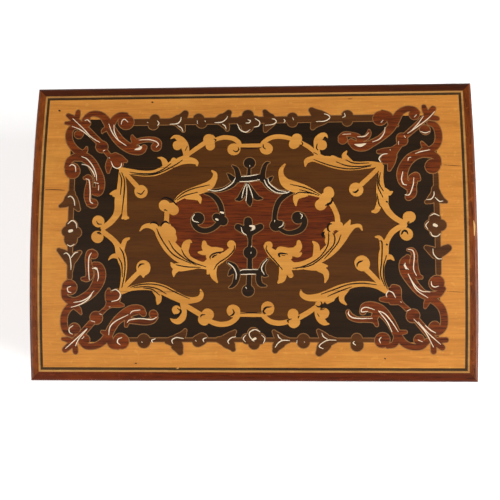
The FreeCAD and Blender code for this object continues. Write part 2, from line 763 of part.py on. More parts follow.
# Lid rim: four boards whose upper edges are shot to the underside of the crown, and their veneers
rim_z = (lid_low, box_height)
piece(cut("rim_front_board", common("rim_front_crowned", long_board("rim_front", False, rim_z), lid_under),
          link_plate, *link_brads), "lid_rim_front")
piece(cut("rim_back_board", common("rim_back_crowned", long_board("rim_back", True, rim_z), lid_under),
          *lid_hinge_rooms, *lid_hinge_brads), "lid_rim_back")
piece(common("rim_left_board", end_board("rim_left", False, rim_z), lid_under), "lid_rim_left")
piece(common("rim_right_board", end_board("rim_right", True, rim_z), lid_under), "lid_rim_right")
piece(common("rim_front_sheet", block("rim_front_face", (-face_x, face_x), (-face_y, -core_y), rim_z),
             lid_under), "rim_veneer_front")
piece(cut("rim_back_sheet", common(
    "rim_back_skin", block("rim_back_face", (-face_x, face_x), (core_y, face_y), rim_z), lid_under),
    *lid_hinge_rooms), "rim_veneer_back")
piece(common("rim_left_sheet", block("rim_left_face", (-face_x, -core_x), (-core_y, core_y), rim_z),
             lid_under), "rim_veneer_left")
piece(common("rim_right_sheet", block("rim_right_face", (core_x, face_x), (-core_y, core_y), rim_z),
             lid_under), "rim_veneer_right")

# Lid boards: three staves with bevelled joints, inside the lipping
lipping_width = of_sheet("lipping_width")
board_x = half_length - lipping_width
board_y = half_width - lipping_width
front_joint = -of_sheet("front_joint")
back_joint = of_sheet("back_joint")


def stave_edge(y, square):
    """The two ends of a stave's edge: square to the floor, or along the crown's radius."""
    low_y = y if square else y * under_radius / skin_radius
    return (low_y, on_crown(under_radius, low_y)), (y, on_crown(skin_radius, y))


for name, near, far in (("front", -board_y, front_joint), ("middle", front_joint, back_joint),
                        ("back", back_joint, board_y)):
    near_low, near_high = stave_edge(near, name == "front")
    far_low, far_high = stave_edge(far, name == "back")
    piece(padded(f"stave_{name}", "YZ_Plane", [
        (*near_low, -under_radius), far_low, (*far_high, skin_radius), near_high],
        -board_x, board_x), f"lid_stave_{name}")

# Lipping: mitred strips round the lid boards, with a rounded upper edge
above = box_height + rise
lipping_round = of_sheet("lipping_round")


def lipping_blank(side):
    return mitred_strip(f"lipping_{side}_mitre", side, (seam, above), half_length, half_width, lipping_width)


for side in ("front", "back"):
    crowned = common(f"lipping_{side}_crowned", lid_board, lipping_blank(side))
    piece(rounded(f"lipping_{side}_round", crowned, lipping_round, lambda point: (
        abs(abs(point.y) - half_width.value) < TOUCH
        and abs(math.hypot(point.y, point.z - crown_axis.value) - crown_radius.value) < TOUCH)),
        f"lid_lipping_{side}")
for side, sign in (("left", -1), ("right", 1)):
    section = [
        (sign * board_x, under_radius), (sign * half_length, under_radius),
        (sign * half_length, crown_radius - lipping_round, sign * lipping_round),
        (sign * (half_length - lipping_round), crown_radius), (sign * board_x, crown_radius)]
    bent = turned(f"lipping_{side}_bent", section, crown_axis, crown_sweep)
    piece(common(f"lipping_{side}_trimmed", bent, lipping_blank(side)), f"lid_lipping_{side}")

# Stringing: a light and a dark line laid in the veneer inside the lipping
for tone, inset, width in (("light", lipping_width, of_sheet("light_string")),
                           ("dark", lipping_width + of_sheet("light_string"), of_sheet("dark_string"))):
    lines = [common(f"{tone}_line_{side}", lid_skin, mitred_strip(
        f"{tone}_line_{side}_blank", side, (seam, above), half_length - inset, half_width - inset, width))
        for side in ("front", "back", "left", "right")]
    piece(group(f"{tone}_lines", *lines), f"stringing_{tone}")

# Marquetry grounds: maple border, ebonised frame, walnut cartouche and mahogany centre
string_inset = lipping_width + of_sheet("light_string") + of_sheet("dark_string")
field_x = half_length - string_inset
field_y = half_width - string_inset


def corner_of(name):
    """A corner of an outline, from its two cells."""
    return of_sheet(f"{name}_x"), of_sheet(f"{name}_y")


def mirrored(half):
    """The left half of an outline, from its right half read upwards or downwards.

    A radius belongs to the run that follows its corner, so a mirrored run takes the radius of
    the corner before it.
    """
    other = []
    for index in range(len(half) - 1, -1, -1):
        u, v = half[index][:2]
        run_radius = half[index - 1][2:] if index else ()
        other.append((-u, v, *run_radius))
    return other


ground_corner = of_sheet("ground_corner")
ground_left = of_sheet("border_left") - field_x
ground_right = field_x - of_sheet("border_right")
ground_front = of_sheet("border_front") - field_y
ground_back = field_y - of_sheet("border_back")
ground_outline = [
    (ground_right, ground_front + ground_corner),
    (ground_right, ground_back - ground_corner, ground_corner),
    (ground_right - ground_corner, ground_back),
    (ground_left + ground_corner, ground_back, ground_corner),
    (ground_left, ground_back - ground_corner),
    (ground_left, ground_front + ground_corner, ground_corner),
    (ground_left + ground_corner, ground_front),
    (ground_right - ground_corner, ground_front, ground_corner)]
cartouche_quarter = [
    (*corner_of("cartouche_end"), -of_sheet("cartouche_end_arc")),
    (*corner_of("cartouche_corner"), -of_sheet("cartouche_side_arc")),
    corner_of("cartouche_knee"),
    (*corner_of("cartouche_ball"), of_sheet("cartouche_bow_arc")),
    corner_of("cartouche_bar")]
cartouche_half = cartouche_quarter + mirrored(cartouche_quarter)
cartouche_outline = cartouche_half + [(-u, -v, *run) for u, v, *run in cartouche_half]
centre_side = of_sheet("centre_side_x")
chin_x, chin_y = corner_of("centre_chin")
beak_x, beak_y = corner_of("centre_beak")
foot_x, foot_y = corner_of("centre_foot")
centre_half = [
    (foot_x, -foot_y),
    (beak_x, -beak_y),
    (chin_x, -chin_y, of_sheet("centre_belly_arc")),
    (centre_side, of_sheet("centre_side_low")),
    (centre_side, of_sheet("centre_side_high"), of_sheet("centre_shoulder_arc")),
    corner_of("centre_leaf"),
    (*corner_of("centre_neck"), -of_sheet("centre_neck_arc")),
    corner_of("centre_bar")]
centre_outline = centre_half + mirrored(centre_half)
ground_prism = padded("ground_prism", "XY_Plane", ground_outline, seam, above)
cartouche_prism = padded("cartouche_prism", "XY_Plane", cartouche_outline, seam, above)
centre_prism = padded("centre_prism", "XY_Plane", centre_outline, seam, above)
field_block = block("field_block", (-field_x, field_x), (-field_y, field_y), (seam, above))
piece(cut("maple_sheet", common("maple_blank", lid_skin, field_block), ground_prism), "field_maple")
piece(cut("ebonised_sheet", common("ebonised_blank", lid_skin, ground_prism), cartouche_prism),
      "field_ebonised")
piece(cut("walnut_sheet", common("walnut_blank", lid_skin, cartouche_prism), centre_prism), "field_walnut")
piece(common("mahogany_sheet", lid_skin, centre_prism), "field_mahogany")

# Hinge pieces
for hand, case_leaf, lid_leaf in zip(("left", "right"), case_leaves, lid_leaves):
    piece(case_leaf, f"hinge_{hand}_case_leaf")
    piece(lid_leaf, f"hinge_{hand}_lid_leaf")
piece(group("hinge_pin_set", *hinge_pins), "hinge_pins")
piece(group("case_brad_set", *case_hinge_brads), "hinge_case_brads")
piece(group("lid_brad_set", *lid_hinge_brads), "hinge_lid_brads")

# Key: a pierced flat bow on a drilled shank with a notched bit, lying in the drawer
bow_radius = of_sheet("bow_radius")
half_bow = of_sheet("bow_thick") / 2
shank_radius = of_sheet("shank_radius")
recess_gap = of_sheet("recess_gap")
tray_low = bottom_thick + slide_gap
tray_top = drawer_roof - slide_gap
recess_low = tray_low + of_sheet("recess_floor")
bow_x = of_sheet("recess_end") + recess_gap + bow_radius - core_x
key_level = recess_low + shank_radius + of_sheet("rest_gap")
shank_start = bow_x + bow_radius / 2
shank_end = shank_start + of_sheet("shank_length")
bow_foot = (bow_x, 0, key_level - half_bow)
bow = rod("key_bow", "z", bow_foot, half_bow * 2, bow_radius)
bow_hole = rod("key_bow_hole", "z", (bow_x - bow_radius / 4, 0, key_level - half_bow), half_bow * 2,
               of_sheet("bow_hole"))
shank = rod("key_shank", "x", (shank_start, 0, key_level), of_sheet("shank_length"), shank_radius)
half_bit = of_sheet("bit_thick") / 2
bit_x = (shank_end - of_sheet("bit_length"), shank_end)
bit_y = (-shank_radius - of_sheet("bit_reach"), 0)
bit = block("key_bit", bit_x, bit_y, (key_level - half_bit, key_level + half_bit))
ward_middle = (bit_x[0] + bit_x[1]) / 2
ward = block("key_ward", (ward_middle - half_bit / 2, ward_middle + half_bit / 2),
             (bit_y[0], bit_y[0] + of_sheet("bit_reach") / 2),
             (key_level - half_bit, key_level + half_bit))
barrel = rod("key_barrel", "x", (shank_end - of_sheet("barrel_depth"), 0, key_level),
             of_sheet("barrel_depth"), of_sheet("barrel_bore"))
piece(cut("key_shape", fuse("key_blank", bow, shank, bit), bow_hole, ward, barrel), "key")

# Key drawer: a solid tray behind the left plinth strip, recessed to the shape of the key
tray_blank = block("tray_blank", (-core_x, drawer_end), (-half_drawer, half_drawer), (tray_low, tray_top))
recess_height = tray_top - recess_low
bow_recess = rod("bow_recess", "z", (bow_x, 0, recess_low), recess_height, bow_radius + recess_gap)
shank_recess = block("shank_recess", (bow_x, shank_end + recess_gap),
                     (-shank_radius - recess_gap, shank_radius + recess_gap), (recess_low, tray_top))
bit_recess = block("bit_recess", (bit_x[0] - recess_gap, bit_x[1] + recess_gap),
                   (bit_y[0] - recess_gap, 0), (recess_low, tray_top))
piece(cut("tray", tray_blank, bow_recess, shank_recess, bit_recess), "drawer_tray")

doc.recompute()
faults = [thing.Name for thing in doc.Objects if {"Invalid", "Error"} & set(thing.State)]
for thing in PIECES:
    if thing.Shape.isNull() or not thing.Shape.isValid() or not thing.Shape.Solids:
        faults.append(thing.Label)
if faults:
    raise RuntimeError(f"these did not build: {faults}")
os.makedirs("parts", exist_ok=True)
for thing in PIECES:
    thing.Shape.exportStep(f"parts/{thing.Label}.step")
print(f"{len(PIECES)} pieces written")
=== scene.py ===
import math

import bpy
import numpy as np
from mathutils import Matrix, Vector
from mathutils.geometry import delaunay_2d_cdt


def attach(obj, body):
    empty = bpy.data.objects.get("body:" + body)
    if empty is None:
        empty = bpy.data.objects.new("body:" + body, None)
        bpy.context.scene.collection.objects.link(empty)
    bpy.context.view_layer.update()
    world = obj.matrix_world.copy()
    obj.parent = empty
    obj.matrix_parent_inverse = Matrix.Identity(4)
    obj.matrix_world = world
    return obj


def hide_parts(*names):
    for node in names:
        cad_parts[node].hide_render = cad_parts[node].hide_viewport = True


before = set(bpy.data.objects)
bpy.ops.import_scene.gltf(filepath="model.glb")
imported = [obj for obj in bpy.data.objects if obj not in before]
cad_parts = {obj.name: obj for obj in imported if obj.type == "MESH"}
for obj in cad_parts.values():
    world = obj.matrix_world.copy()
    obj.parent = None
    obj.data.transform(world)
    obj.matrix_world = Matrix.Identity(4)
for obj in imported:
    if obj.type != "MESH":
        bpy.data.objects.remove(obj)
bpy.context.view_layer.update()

# The case: four solid walls with a floor, a bottom board and the key drawer's runners.
# Pale close-grained timber, planed, glued at the corners and waxed on the inside.


def paint(red, green, blue):
    """A shade with parts from 0 to 255, as the shader's linear colour."""
    return tuple((c / 255 / 12.92 if c < 10.3 else ((c / 255 + 0.055) / 1.055) ** 2.4)
                 for c in (red, green, blue)) + (1.0,)


def start_group(name, inputs, outputs):
    """An empty shader node group with its sockets, and its input and output nodes."""
    group = bpy.data.node_groups.new(name, "ShaderNodeTree")
    for label, kind, value in inputs:
        socket = group.interface.new_socket(label, in_out="INPUT", socket_type=kind)
        socket.default_value = value
    for label, kind in outputs:
        group.interface.new_socket(label, in_out="OUTPUT", socket_type=kind)
    return group, group.nodes.new("NodeGroupInput"), group.nodes.new("NodeGroupOutput")


def feed(tree, node, sources):
    """Joins other nodes' outputs to a node's inputs."""
    for socket, source in dict(sources).items():
        tree.links.new(source, node.inputs[socket])


def add(tree, kind, values=(), links=(), **settings):
    """A node with its settings, its fixed input values and the sockets that feed it."""
    node = tree.nodes.new(kind)
    for key, value in settings.items():
        setattr(node, key, value)
    for socket, value in dict(values).items():
        node.inputs[socket].default_value = value
    feed(tree, node, links)
    return node


def noise(tree, place, scale, detail, roughness=0.5, distortion=0.0):
    """A cloudy value that changes from place to place."""
    clouds = add(tree, "ShaderNodeTexNoise", links={"Vector": place},
                 values={"Scale": scale, "Detail": detail, "Roughness": roughness, "Distortion": distortion})
    return clouds.outputs["Fac"]


def ranged(tree, value, source, onto=(0.0, 1.0)):
    """A value spread from one range onto another and held at its ends."""
    limits = {"From Min": source[0], "From Max": source[1], "To Min": onto[0], "To Max": onto[1]}
    return add(tree, "ShaderNodeMapRange", links={"Value": value}, values=limits).outputs[0]


def mixed(tree, share, first, second):
    """A colour between two others."""
    return add(tree, "ShaderNodeMix", data_type="RGBA", links={0: share, 6: first, 7: second}).outputs[2]


def make_timber_figure():
    """Growth bands, fine fibres and dark pores drawn out along the grain."""
    group, given, out = start_group(
        "timber_figure",
        [("Pale", "NodeSocketColor", (1, 1, 1, 1)), ("Deep", "NodeSocketColor", (0, 0, 0, 1)),
         ("Stretch", "NodeSocketVector", (1, 1, 1)), ("Pores", "NodeSocketFloat", 0.3),
         ("Fibre", "NodeSocketFloat", 0.4), ("Offset", "NodeSocketFloat", 0.0)],
        [("Color", "NodeSocketColor"), ("Roughness", "NodeSocketFloat"), ("Height", "NodeSocketFloat")])
    place = add(group, "ShaderNodeTexCoord")
    along = add(group, "ShaderNodeVectorMath", operation="MULTIPLY",
                links={0: place.outputs["Object"], 1: given.outputs["Stretch"]})
    shifted = add(group, "ShaderNodeVectorMath", operation="ADD",
                  links={0: along.outputs[0], 1: given.outputs["Offset"]}).outputs[0]
    bands = noise(group, shifted, scale=0.22, detail=3.0, roughness=0.55, distortion=0.7)
    fibres = noise(group, shifted, scale=1.6, detail=4.0, roughness=0.65)
    pores = noise(group, shifted, scale=3.1, detail=2.0)
    pore_mask = ranged(group, pores, (0.56, 0.72))
    pore_depth = add(group, "ShaderNodeMath", operation="MULTIPLY",
                     links={0: pore_mask, 1: given.outputs["Pores"]})
    band_part = ranged(group, bands, (0.3, 0.7))
    fibre_part = ranged(group, fibres, (0.32, 0.68))
    figure = add(group, "ShaderNodeMix", data_type="FLOAT",
                 links={0: given.outputs["Fibre"], 2: band_part, 3: fibre_part})
    deepened = add(group, "ShaderNodeMath", operation="ADD", use_clamp=True,
                   links={0: figure.outputs[0], 1: pore_depth.outputs[0]}).outputs[0]
    tone = mixed(group, deepened, given.outputs["Pale"], given.outputs["Deep"])
    sheen = ranged(group, fibres, (0.0, 1.0), onto=(0.34, 0.5))
    feed(group, out, {"Color": tone, "Roughness": sheen, "Height": deepened})
    return group


def make_handling_wear():
    """Scuffs and rubbed patches from years of handling, paler and duller than the finish."""
    group, given, out = start_group(
        "handling_wear",
        [("Finish", "NodeSocketColor", (0, 0, 0, 1)), ("Rubbed", "NodeSocketColor", (1, 1, 1, 1)),
         ("Sheen", "NodeSocketFloat", 0.4), ("Amount", "NodeSocketFloat", 0.3)],
        [("Color", "NodeSocketColor"), ("Roughness", "NodeSocketFloat")])
    place = add(group, "ShaderNodeTexCoord").outputs["Object"]
    patches = noise(group, place, scale=62.0, detail=5.0, roughness=0.7)
    patch_mask = ranged(group, patches, (0.52, 0.74))
    nicks = noise(group, place, scale=620.0, detail=2.0)
    nick_mask = ranged(group, nicks, (0.62, 0.72))
    both = add(group, "ShaderNodeMath", operation="MAXIMUM", links={0: patch_mask, 1: nick_mask})
    share = add(group, "ShaderNodeMath", operation="MULTIPLY",
                links={0: both.outputs[0], 1: given.outputs["Amount"]}).outputs[0]
    tone = mixed(group, share, given.outputs["Finish"], given.outputs["Rubbed"])
    dulling = 0.25
    dulled = add(group, "ShaderNodeMath", operation="MULTIPLY_ADD",
                 links={0: share, 2: given.outputs["Sheen"]}, values={1: dulling})
    feed(group, out, {"Color": tone, "Roughness": dulled.outputs[0]})
    return group


timber_figure = make_timber_figure()
handling_wear = make_handling_wear()
grain_stretch = {"x": (60, 900, 900), "y": (900, 60, 900)}
rubbed_gain = 1.35
rubbed_lift = 14


def timber(name, pale, deep, grain="x", pores=0.3, wear=0.0, lacquer=0.3, relief=0.06, offset=0.0,
           fibre=0.4):
    """A finished wood: figure along the grain, rubbed patches and a coat of lacquer or wax."""
    material = bpy.data.materials.new(name)
    material.use_nodes = True
    tree = material.node_tree
    shader = tree.nodes["Principled BSDF"]
    shader.inputs["Specular IOR Level"].default_value = 0.3
    shader.inputs["Coat Weight"].default_value = lacquer
    shader.inputs["Coat Roughness"].default_value = 0.12
    figure = add(tree, "ShaderNodeGroup", node_tree=timber_figure,
                 values={"Pale": paint(*pale), "Deep": paint(*deep), "Stretch": grain_stretch[grain],
                         "Pores": pores, "Fibre": fibre, "Offset": offset})
    rubbed = [min(255, c * rubbed_gain + rubbed_lift) for c in pale]
    worn = add(tree, "ShaderNodeGroup", node_tree=handling_wear,
               values={"Rubbed": paint(*rubbed), "Amount": wear},
               links={"Finish": figure.outputs["Color"], "Sheen": figure.outputs["Roughness"]})
    bump = add(tree, "ShaderNodeBump", values={"Strength": relief, "Distance": 0.0002},
               links={"Height": figure.outputs["Height"]})
    feed(tree, shader, {"Base Color": worn.outputs["Color"], "Roughness": worn.outputs["Roughness"],
                        "Normal": bump.outputs["Normal"]})
    return material


def finish_nodes(material, *names):
    """Puts a finish on pieces that keep their own shape."""
    for name in names:
        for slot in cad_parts[name].material_slots:
            slot.material = material


core_pale = (206, 160, 104)
core_deep = (168, 118, 66)
core_finish = dict(pores=0.15, wear=0.1, lacquer=0.05, relief=0.1)
core_long = timber("core_wood_long", core_pale, core_deep, **core_finish)
core_cross = timber("core_wood_cross", core_pale, core_deep, "y", offset=3.0, **core_finish)
finish_nodes(core_long, "front_wall", "back_wall", "floor_panel", "bottom_panel")
finish_nodes(core_cross, "left_wall", "right_wall")
finish_nodes(core_long, "drawer_guides", "drawer_stop")

# The case veneers: four sheets of figured maple glued to the outside of the walls.
# Knife-cut veneer under an amber lacquer, with the grain running round the box.

maple_pale = (216, 147, 70)
maple_deep = (178, 111, 46)
maple_finish = dict(pores=0.12, wear=0.16, relief=0.03)
maple_long = timber("maple_long", maple_pale, maple_deep, **maple_finish)
maple_cross = timber("maple_cross", maple_pale, maple_deep, "y", offset=5.0, **maple_finish)
finish_nodes(maple_long, "front_veneer", "back_veneer")
finish_nodes(maple_cross, "left_veneer", "right_veneer")

# The plinth and the frieze: mahogany mouldings let into or wrapped round the case.
# Planed and rounded on the outer edges, glued on, stained and lacquered.

plinth_pale = (132, 66, 30)
plinth_deep = (70, 28, 11)
plinth_finish = dict(pores=0.5, wear=0.28)
plinth_long = timber("mahogany_long", plinth_pale, plinth_deep, **plinth_finish)
plinth_cross = timber("mahogany_cross", plinth_pale, plinth_deep, "y", offset=7.0, **plinth_finish)
finish_nodes(plinth_long, "plinth_front", "plinth_back", "front_frieze", "back_frieze")
finish_nodes(plinth_cross, "plinth_right", "left_frieze", "right_frieze")

# The hidden shutter: a length of the front frieze that slides aside to bare the keyhole.
# Cut from the same mahogany so that its ends vanish against the fixed part.

finish_nodes(plinth_long, "keyhole_shutter")

# The key drawer: a false plinth end on a small tray, with the key lying in its recess.
# Mahogany front glued to a tray hollowed from solid pale wood.

finish_nodes(plinth_cross, "drawer_front")
finish_nodes(core_long, "drawer_tray")

# The lock, its key, the link plate, the pins, the brads and the two butt hinges.
# Rolled and filed brass, brushed along its length and dulled a little by age.


def make_brass_tarnish():
    """Brushed lines and cloudy brown tarnish on old brass."""
    group, given, out = start_group(
        "brass_tarnish",
        [("Bright", "NodeSocketColor", (1, 1, 1, 1)), ("Dull", "NodeSocketColor", (0, 0, 0, 1))],
        [("Color", "NodeSocketColor"), ("Roughness", "NodeSocketFloat"), ("Height", "NodeSocketFloat")])
    place = add(group, "ShaderNodeTexCoord").outputs["Object"]
    brushed_way = add(group, "ShaderNodeVectorMath", operation="MULTIPLY", links={0: place},
                      values={1: (200, 5000, 5000)})
    brushed = noise(group, brushed_way.outputs[0], scale=1.0, detail=3.0)
    clouds = noise(group, place, scale=180.0, detail=5.0, roughness=0.65)
    stain = ranged(group, clouds, (0.42, 0.72), onto=(0.0, 0.8))
    tone = mixed(group, stain, given.outputs["Bright"], given.outputs["Dull"])
    dulled = ranged(group, clouds, (0.3, 0.7), onto=(0.24, 0.5))
    feed(group, out, {"Color": tone, "Roughness": dulled, "Height": brushed})
    return group


brass = bpy.data.materials.new("old_brass")
brass.use_nodes = True
brass_shader = brass.node_tree.nodes["Principled BSDF"]
brass_shader.inputs["Metallic"].default_value = 1.0
brass_face = add(brass.node_tree, "ShaderNodeGroup", node_tree=make_brass_tarnish(),
                 values={"Bright": paint(222, 184, 106), "Dull": paint(150, 108, 52)})
brass_bump = add(brass.node_tree, "ShaderNodeBump", values={"Strength": 0.12, "Distance": 0.0001},
                 links={"Height": brass_face.outputs["Height"]})
feed(brass.node_tree, brass_shader, {"Base Color": brass_face.outputs["Color"],
                                     "Roughness": brass_face.outputs["Roughness"],
                                     "Normal": brass_bump.outputs["Normal"]})
finish_nodes(brass, "lock_case", "lock_cover", "lock_brads", "lock_drill_pin", "lock_bolt", "key")
finish_nodes(brass, "shutter_stop_pin", "link_plate", "link_plate_brads")
finish_nodes(brass, "hinge_pins", "hinge_case_brads", "hinge_lid_brads")
finish_nodes(brass, *(f"hinge_{hand}_{body}_leaf" for hand in ("left", "right") for body in ("case", "lid")))

# The lid carcass: four rims and three staves glued edge to edge into a shallow crown.
# Pale core timber inside, with maple veneer on the outside of the rims.

finish_nodes(core_long, "lid_rim_front", "lid_rim_back")
finish_nodes(core_long, "lid_stave_front", "lid_stave_middle", "lid_stave_back")
finish_nodes(core_cross, "lid_rim_left", "lid_rim_right")
finish_nodes(maple_long, "rim_veneer_front", "rim_veneer_back")
finish_nodes(maple_cross, "rim_veneer_left", "rim_veneer_right")

# The lid's edge: mahogany lippings mitred round the crown, with a pale and a dark string inside them.
# The four differ in wear, and each is painted its own shade of the same mahogany: darkest at the back as
# painted shadow, darker at the front, and lighter left and right as painted light.

lipping_woods_and_shades = {
    "back": dict(pale=(84, 33, 4), deep=(48, 16, 2), grain="x", wear=0.1, offset=1.0),
    "front": dict(pale=(108, 40, 3), deep=(56, 17, 1), grain="x", wear=0.2, offset=2.0),
    "left": dict(pale=(138, 67, 16), deep=(84, 36, 6), grain="y", wear=0.2, offset=3.0),
    "right": dict(pale=(132, 62, 10), deep=(66, 24, 2), grain="y", wear=0.3, offset=4.0)}
for side, wood in lipping_woods_and_shades.items():
    edge_wood_and_shade = timber(f"lipping_{side}_wood", pores=0.5, lacquer=0.0, fibre=0.6, **wood)
    finish_nodes(edge_wood_and_shade, f"lid_lipping_{side}")
pale_string = timber("pale_string_wood", (196, 142, 76), (150, 100, 48), wear=0.1)
dark_string = timber("dark_string_wood", (74, 52, 25), (44, 29, 13), pores=0.4, wear=0.05)
finish_nodes(pale_string, "stringing_light")
finish_nodes(dark_string, "stringing_dark")

# The lid's grounds: sheets of maple, black-dyed veneer, walnut and mahogany laid on the crown.
# Saw-cut to their outlines, fitted edge to edge, glued down and lacquered flush.

crown_radius = 228.33
crown_axis = -164.33
sheet_thickness = 0.7
strip_width = 2.0
weld_gap = 1e-5
sharp_angle = math.radians(40)


def crown(y):
    """Height of the lid's top in millimetres at a distance from its middle line."""
    return crown_axis + math.sqrt(crown_radius ** 2 - y ** 2)


def inside(across, deep, outline):
    """Which of the points lie within an outline, wherever it winds round them."""
    ox, oy = np.array(outline).T
    nx, ny = np.roll(ox, -1), np.roll(oy, -1)
    px, py = across[:, None], deep[:, None]
    side = (nx - ox) * (py - oy) - (px - ox) * (ny - oy)
    rising = (oy <= py) & (ny > py) & (side > 0)
    falling = (oy > py) & (ny <= py) & (side < 0)
    return rising.sum(1) != falling.sum(1)


def lay_veneer(name, outlines, lift, material, node=None):
    """One wood of the marquetry: all its outlines joined, bent to the crown, as a thin solid sheet."""
    points, edges = [], []
    for outline in outlines:
        first, count = len(points), len(outline)
        points += [Vector(p) for p in outline]
        edges += [(first + i, first + (i + 1) % count) for i in range(count)]
    box = np.array(points)
    (left, front), (right, back) = box.min(0) - 1, box.max(0) + 1
    for row in range(math.ceil(front / strip_width), math.floor(back / strip_width) + 1):
        edges.append((len(points), len(points) + 1))
        points += [Vector((left, row * strip_width)), Vector((right, row * strip_width))]
    flat, _, triangles, *_ = delaunay_2d_cdt(points, edges, [], 0, weld_gap, True)
    corners = np.array(flat)[np.array(triangles)]
    middle = corners.mean(1)
    kept = np.zeros(len(triangles), bool)
    for outline in outlines:
        low, high = np.min(outline, 0), np.max(outline, 0)
        near = np.flatnonzero(((middle >= low) & (middle <= high)).all(1) & ~kept)
        kept[near] = inside(middle[near, 0], middle[near, 1], outline)
    faces = [tuple(triangles[i]) for i in np.flatnonzero(kept)]
    used = sorted({corner for face in faces for corner in face})
    new = {corner: i for i, corner in enumerate(used)}
    faces = [tuple(new[corner] for corner in face) for face in faces]
    top = [(flat[c].x, flat[c].y, crown(flat[c].y) + lift) for c in used]
    under = [(x, y, z - sheet_thickness - lift) for x, y, z in top]
    sides = {(face[i], face[i - 2]) for face in faces for i in range(3)}
    walls = [(b, a, a + len(top), b + len(top)) for a, b in sides if (b, a) not in sides]
    solid = faces + [tuple(c + len(top) for c in reversed(face)) for face in faces] + walls
    mesh = bpy.data.meshes.new(name)
    mesh.from_pydata([Vector(p) / 1000 for p in top + under], [], solid)
    mesh.shade_smooth()
    mesh.set_sharp_from_angle(angle=sharp_angle)
    mesh.materials.append(material)
    sheet = bpy.data.objects.new(name, mesh)
    bpy.context.scene.collection.objects.link(sheet)
    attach(sheet, "lid")
    if node:
        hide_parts(node)


def drawn(rows):
    """Strokes or outlines in millimetres: points of x, y and any half width, one stroke to a row.

    A row that starts with spaces goes on with the stroke above it.
    """
    strokes = rows.strip().replace("\n  ", " ").splitlines()
    return [[[float(n) for n in point.split(",")] for point in stroke.split()] for stroke in strokes]


corner_signs = ((-1, -1), (1, -1), (1, 1), (-1, 1))
field_reach = (70.45, 46.15)
field = [(x * field_reach[0], y * field_reach[1]) for x, y in corner_signs]
frame_ground = drawn("""
-59.5,-37.7 59.5,-37.7 61.5,-36.8 62.3,-34.7 62.3,35.8 61.4,37.9 59.3,38.8 -59,38.8 -61.1,37.9 -62,35.8
  -62,-34.7 -61.3,-36.8""")[0]
cartouche = drawn("""
-44.5,20.8 -41,19.9 -37,19.2 -33,19.3 -29.5,20.7 -26.5,22.4 -22,24.7 -19.5,27.2 -14.5,30.6 -10.5,31.5
  -8,31.6 -5.5,30.8 -4,28.6 4,28.6 5.4,30.6 9,31.8 14.5,30.6 19.7,27.8 22.2,25.2 28,22.6 32,21.6 36,21.2
  40,21.5 43.8,21.4 43.3,17 43.3,13 44,10 44.7,7.4 46.2,4.9 48.3,3 51,1.2 48.6,-.2 46.8,-1.6 45.3,-3.9
  44.5,-6 43.9,-9 43.2,-13 43.5,-17 44.6,-20.8 41.5,-19.2 37.5,-18.5 33.5,-18.9 29.5,-20.3 25.8,-22.3
  22.4,-24.8 19.3,-27.7 14.2,-30.4 9,-31.4 6.3,-30.8 4,-28.6 -4.3,-28.6 -7,-31.3 -9.5,-31.8 -15,-30
  -19.8,-26.8 -22.6,-24.6 -25.8,-22.1 -29.2,-20.4 -33,-19.2 -36.8,-19.3 -40.2,-19.9 -43.4,-20.8 -42.8,-16.5
  -42.6,-13 -43.2,-10 -44,-7.5 -45,-5.1 -46.9,-3 -50,0 -47.5,2.3 -45.6,4.6 -44.6,7 -44.2,10 -43.9,13
  -44.2,17""")[0]
centre = drawn("""
-26,8.6 -20,12.4 -14.4,13.1 -8.4,13.8 -4.6,17 0,17.1 3.4,17.4 7.2,13.5 13.4,12.4 18.5,12.6 23.6,10.4 27.6,7
  28.8,2 27.6,-5.6 23.6,-9.4 13,-12.2 6.6,-8 5.5,-10.3 3.8,-13.8 2.4,-14.4 -3.4,-14.5 -5,-13 -7.6,-11.2
  -8.4,-9 -14,-12 -20,-11 -27,-6 -28.4,1""")[0]
mahogany_sheet = timber("mahogany_sheet", (122, 52, 14), (62, 21, 3), pores=0.6, fibre=0.65)
walnut_sheet = timber("walnut_sheet", (92, 52, 14), (66, 34, 7), pores=0.35)
dyed_sheet = timber("black_dyed_sheet", (45, 28, 10), (27, 15, 4))
maple_sheet = timber("maple_sheet", (214, 141, 60), (176, 109, 42), pores=0.18, wear=0.12, relief=0.02,
                     offset=11.0, fibre=0.55)
lay_veneer("maple_ground", [field], lift=0.0, material=maple_sheet, node="field_maple")
lay_veneer("black_ground", [frame_ground], lift=0.01, material=dyed_sheet,
           node="field_ebonised")
lay_veneer("walnut_ground", [cartouche], lift=0.02, material=walnut_sheet, node="field_walnut")
lay_veneer("mahogany_ground", [centre], lift=0.03, material=mahogany_sheet,
           node="field_mahogany")

# The border garland: brown straps strung with balls, bell flowers and rosettes along the four edges.
# Walnut shaped with a fretsaw and let into the black ground, with a thin tan glue line round it.


def smooth_run(points, steps=5):
    """Points along an even curve through the drawn points, with any width they carry."""
    marks = np.array(points, float)
    if len(marks) == 2:
        return marks
    ends = np.vstack([2 * marks[0] - marks[1], marks, 2 * marks[-1] - marks[-2]])
    run = []
    for before, here, there, after in zip(ends, ends[1:], ends[2:], ends[3:]):
        for t in np.arange(steps) / steps:
            run.append((2 * here + (there - before) * t + (2 * before - 5 * here + 4 * there - after) * t ** 2
                        + (3 * here - before - 3 * there + after) * t ** 3) / 2)
    return np.array(run + [marks[-1]])


cap_points = 9


def ribbon(points, grow=0.0):
    """The outline of a tapering scroll with rounded ends, drawn as its middle line and half widths."""
    run = smooth_run(points)
    way = np.gradient(run[:, :2], axis=0)
    way /= np.hypot(way[:, 0], way[:, 1])[:, None]
    wide = run[:, 2:] + grow
    square = np.column_stack([-way[:, 1], way[:, 0]])
    turns = np.linspace(math.pi / 2, -math.pi / 2, cap_points)[1:-1, None]
    far = run[-1, :2] + wide[-1] * (np.cos(turns) * way[-1] + np.sin(turns) * square[-1])
    near = run[0, :2] - wide[0] * (np.cos(turns) * way[0] + np.sin(turns) * square[0])
    return np.vstack([run[:, :2] + wide * square, far, (run[:, :2] - wide * square)[::-1], near])


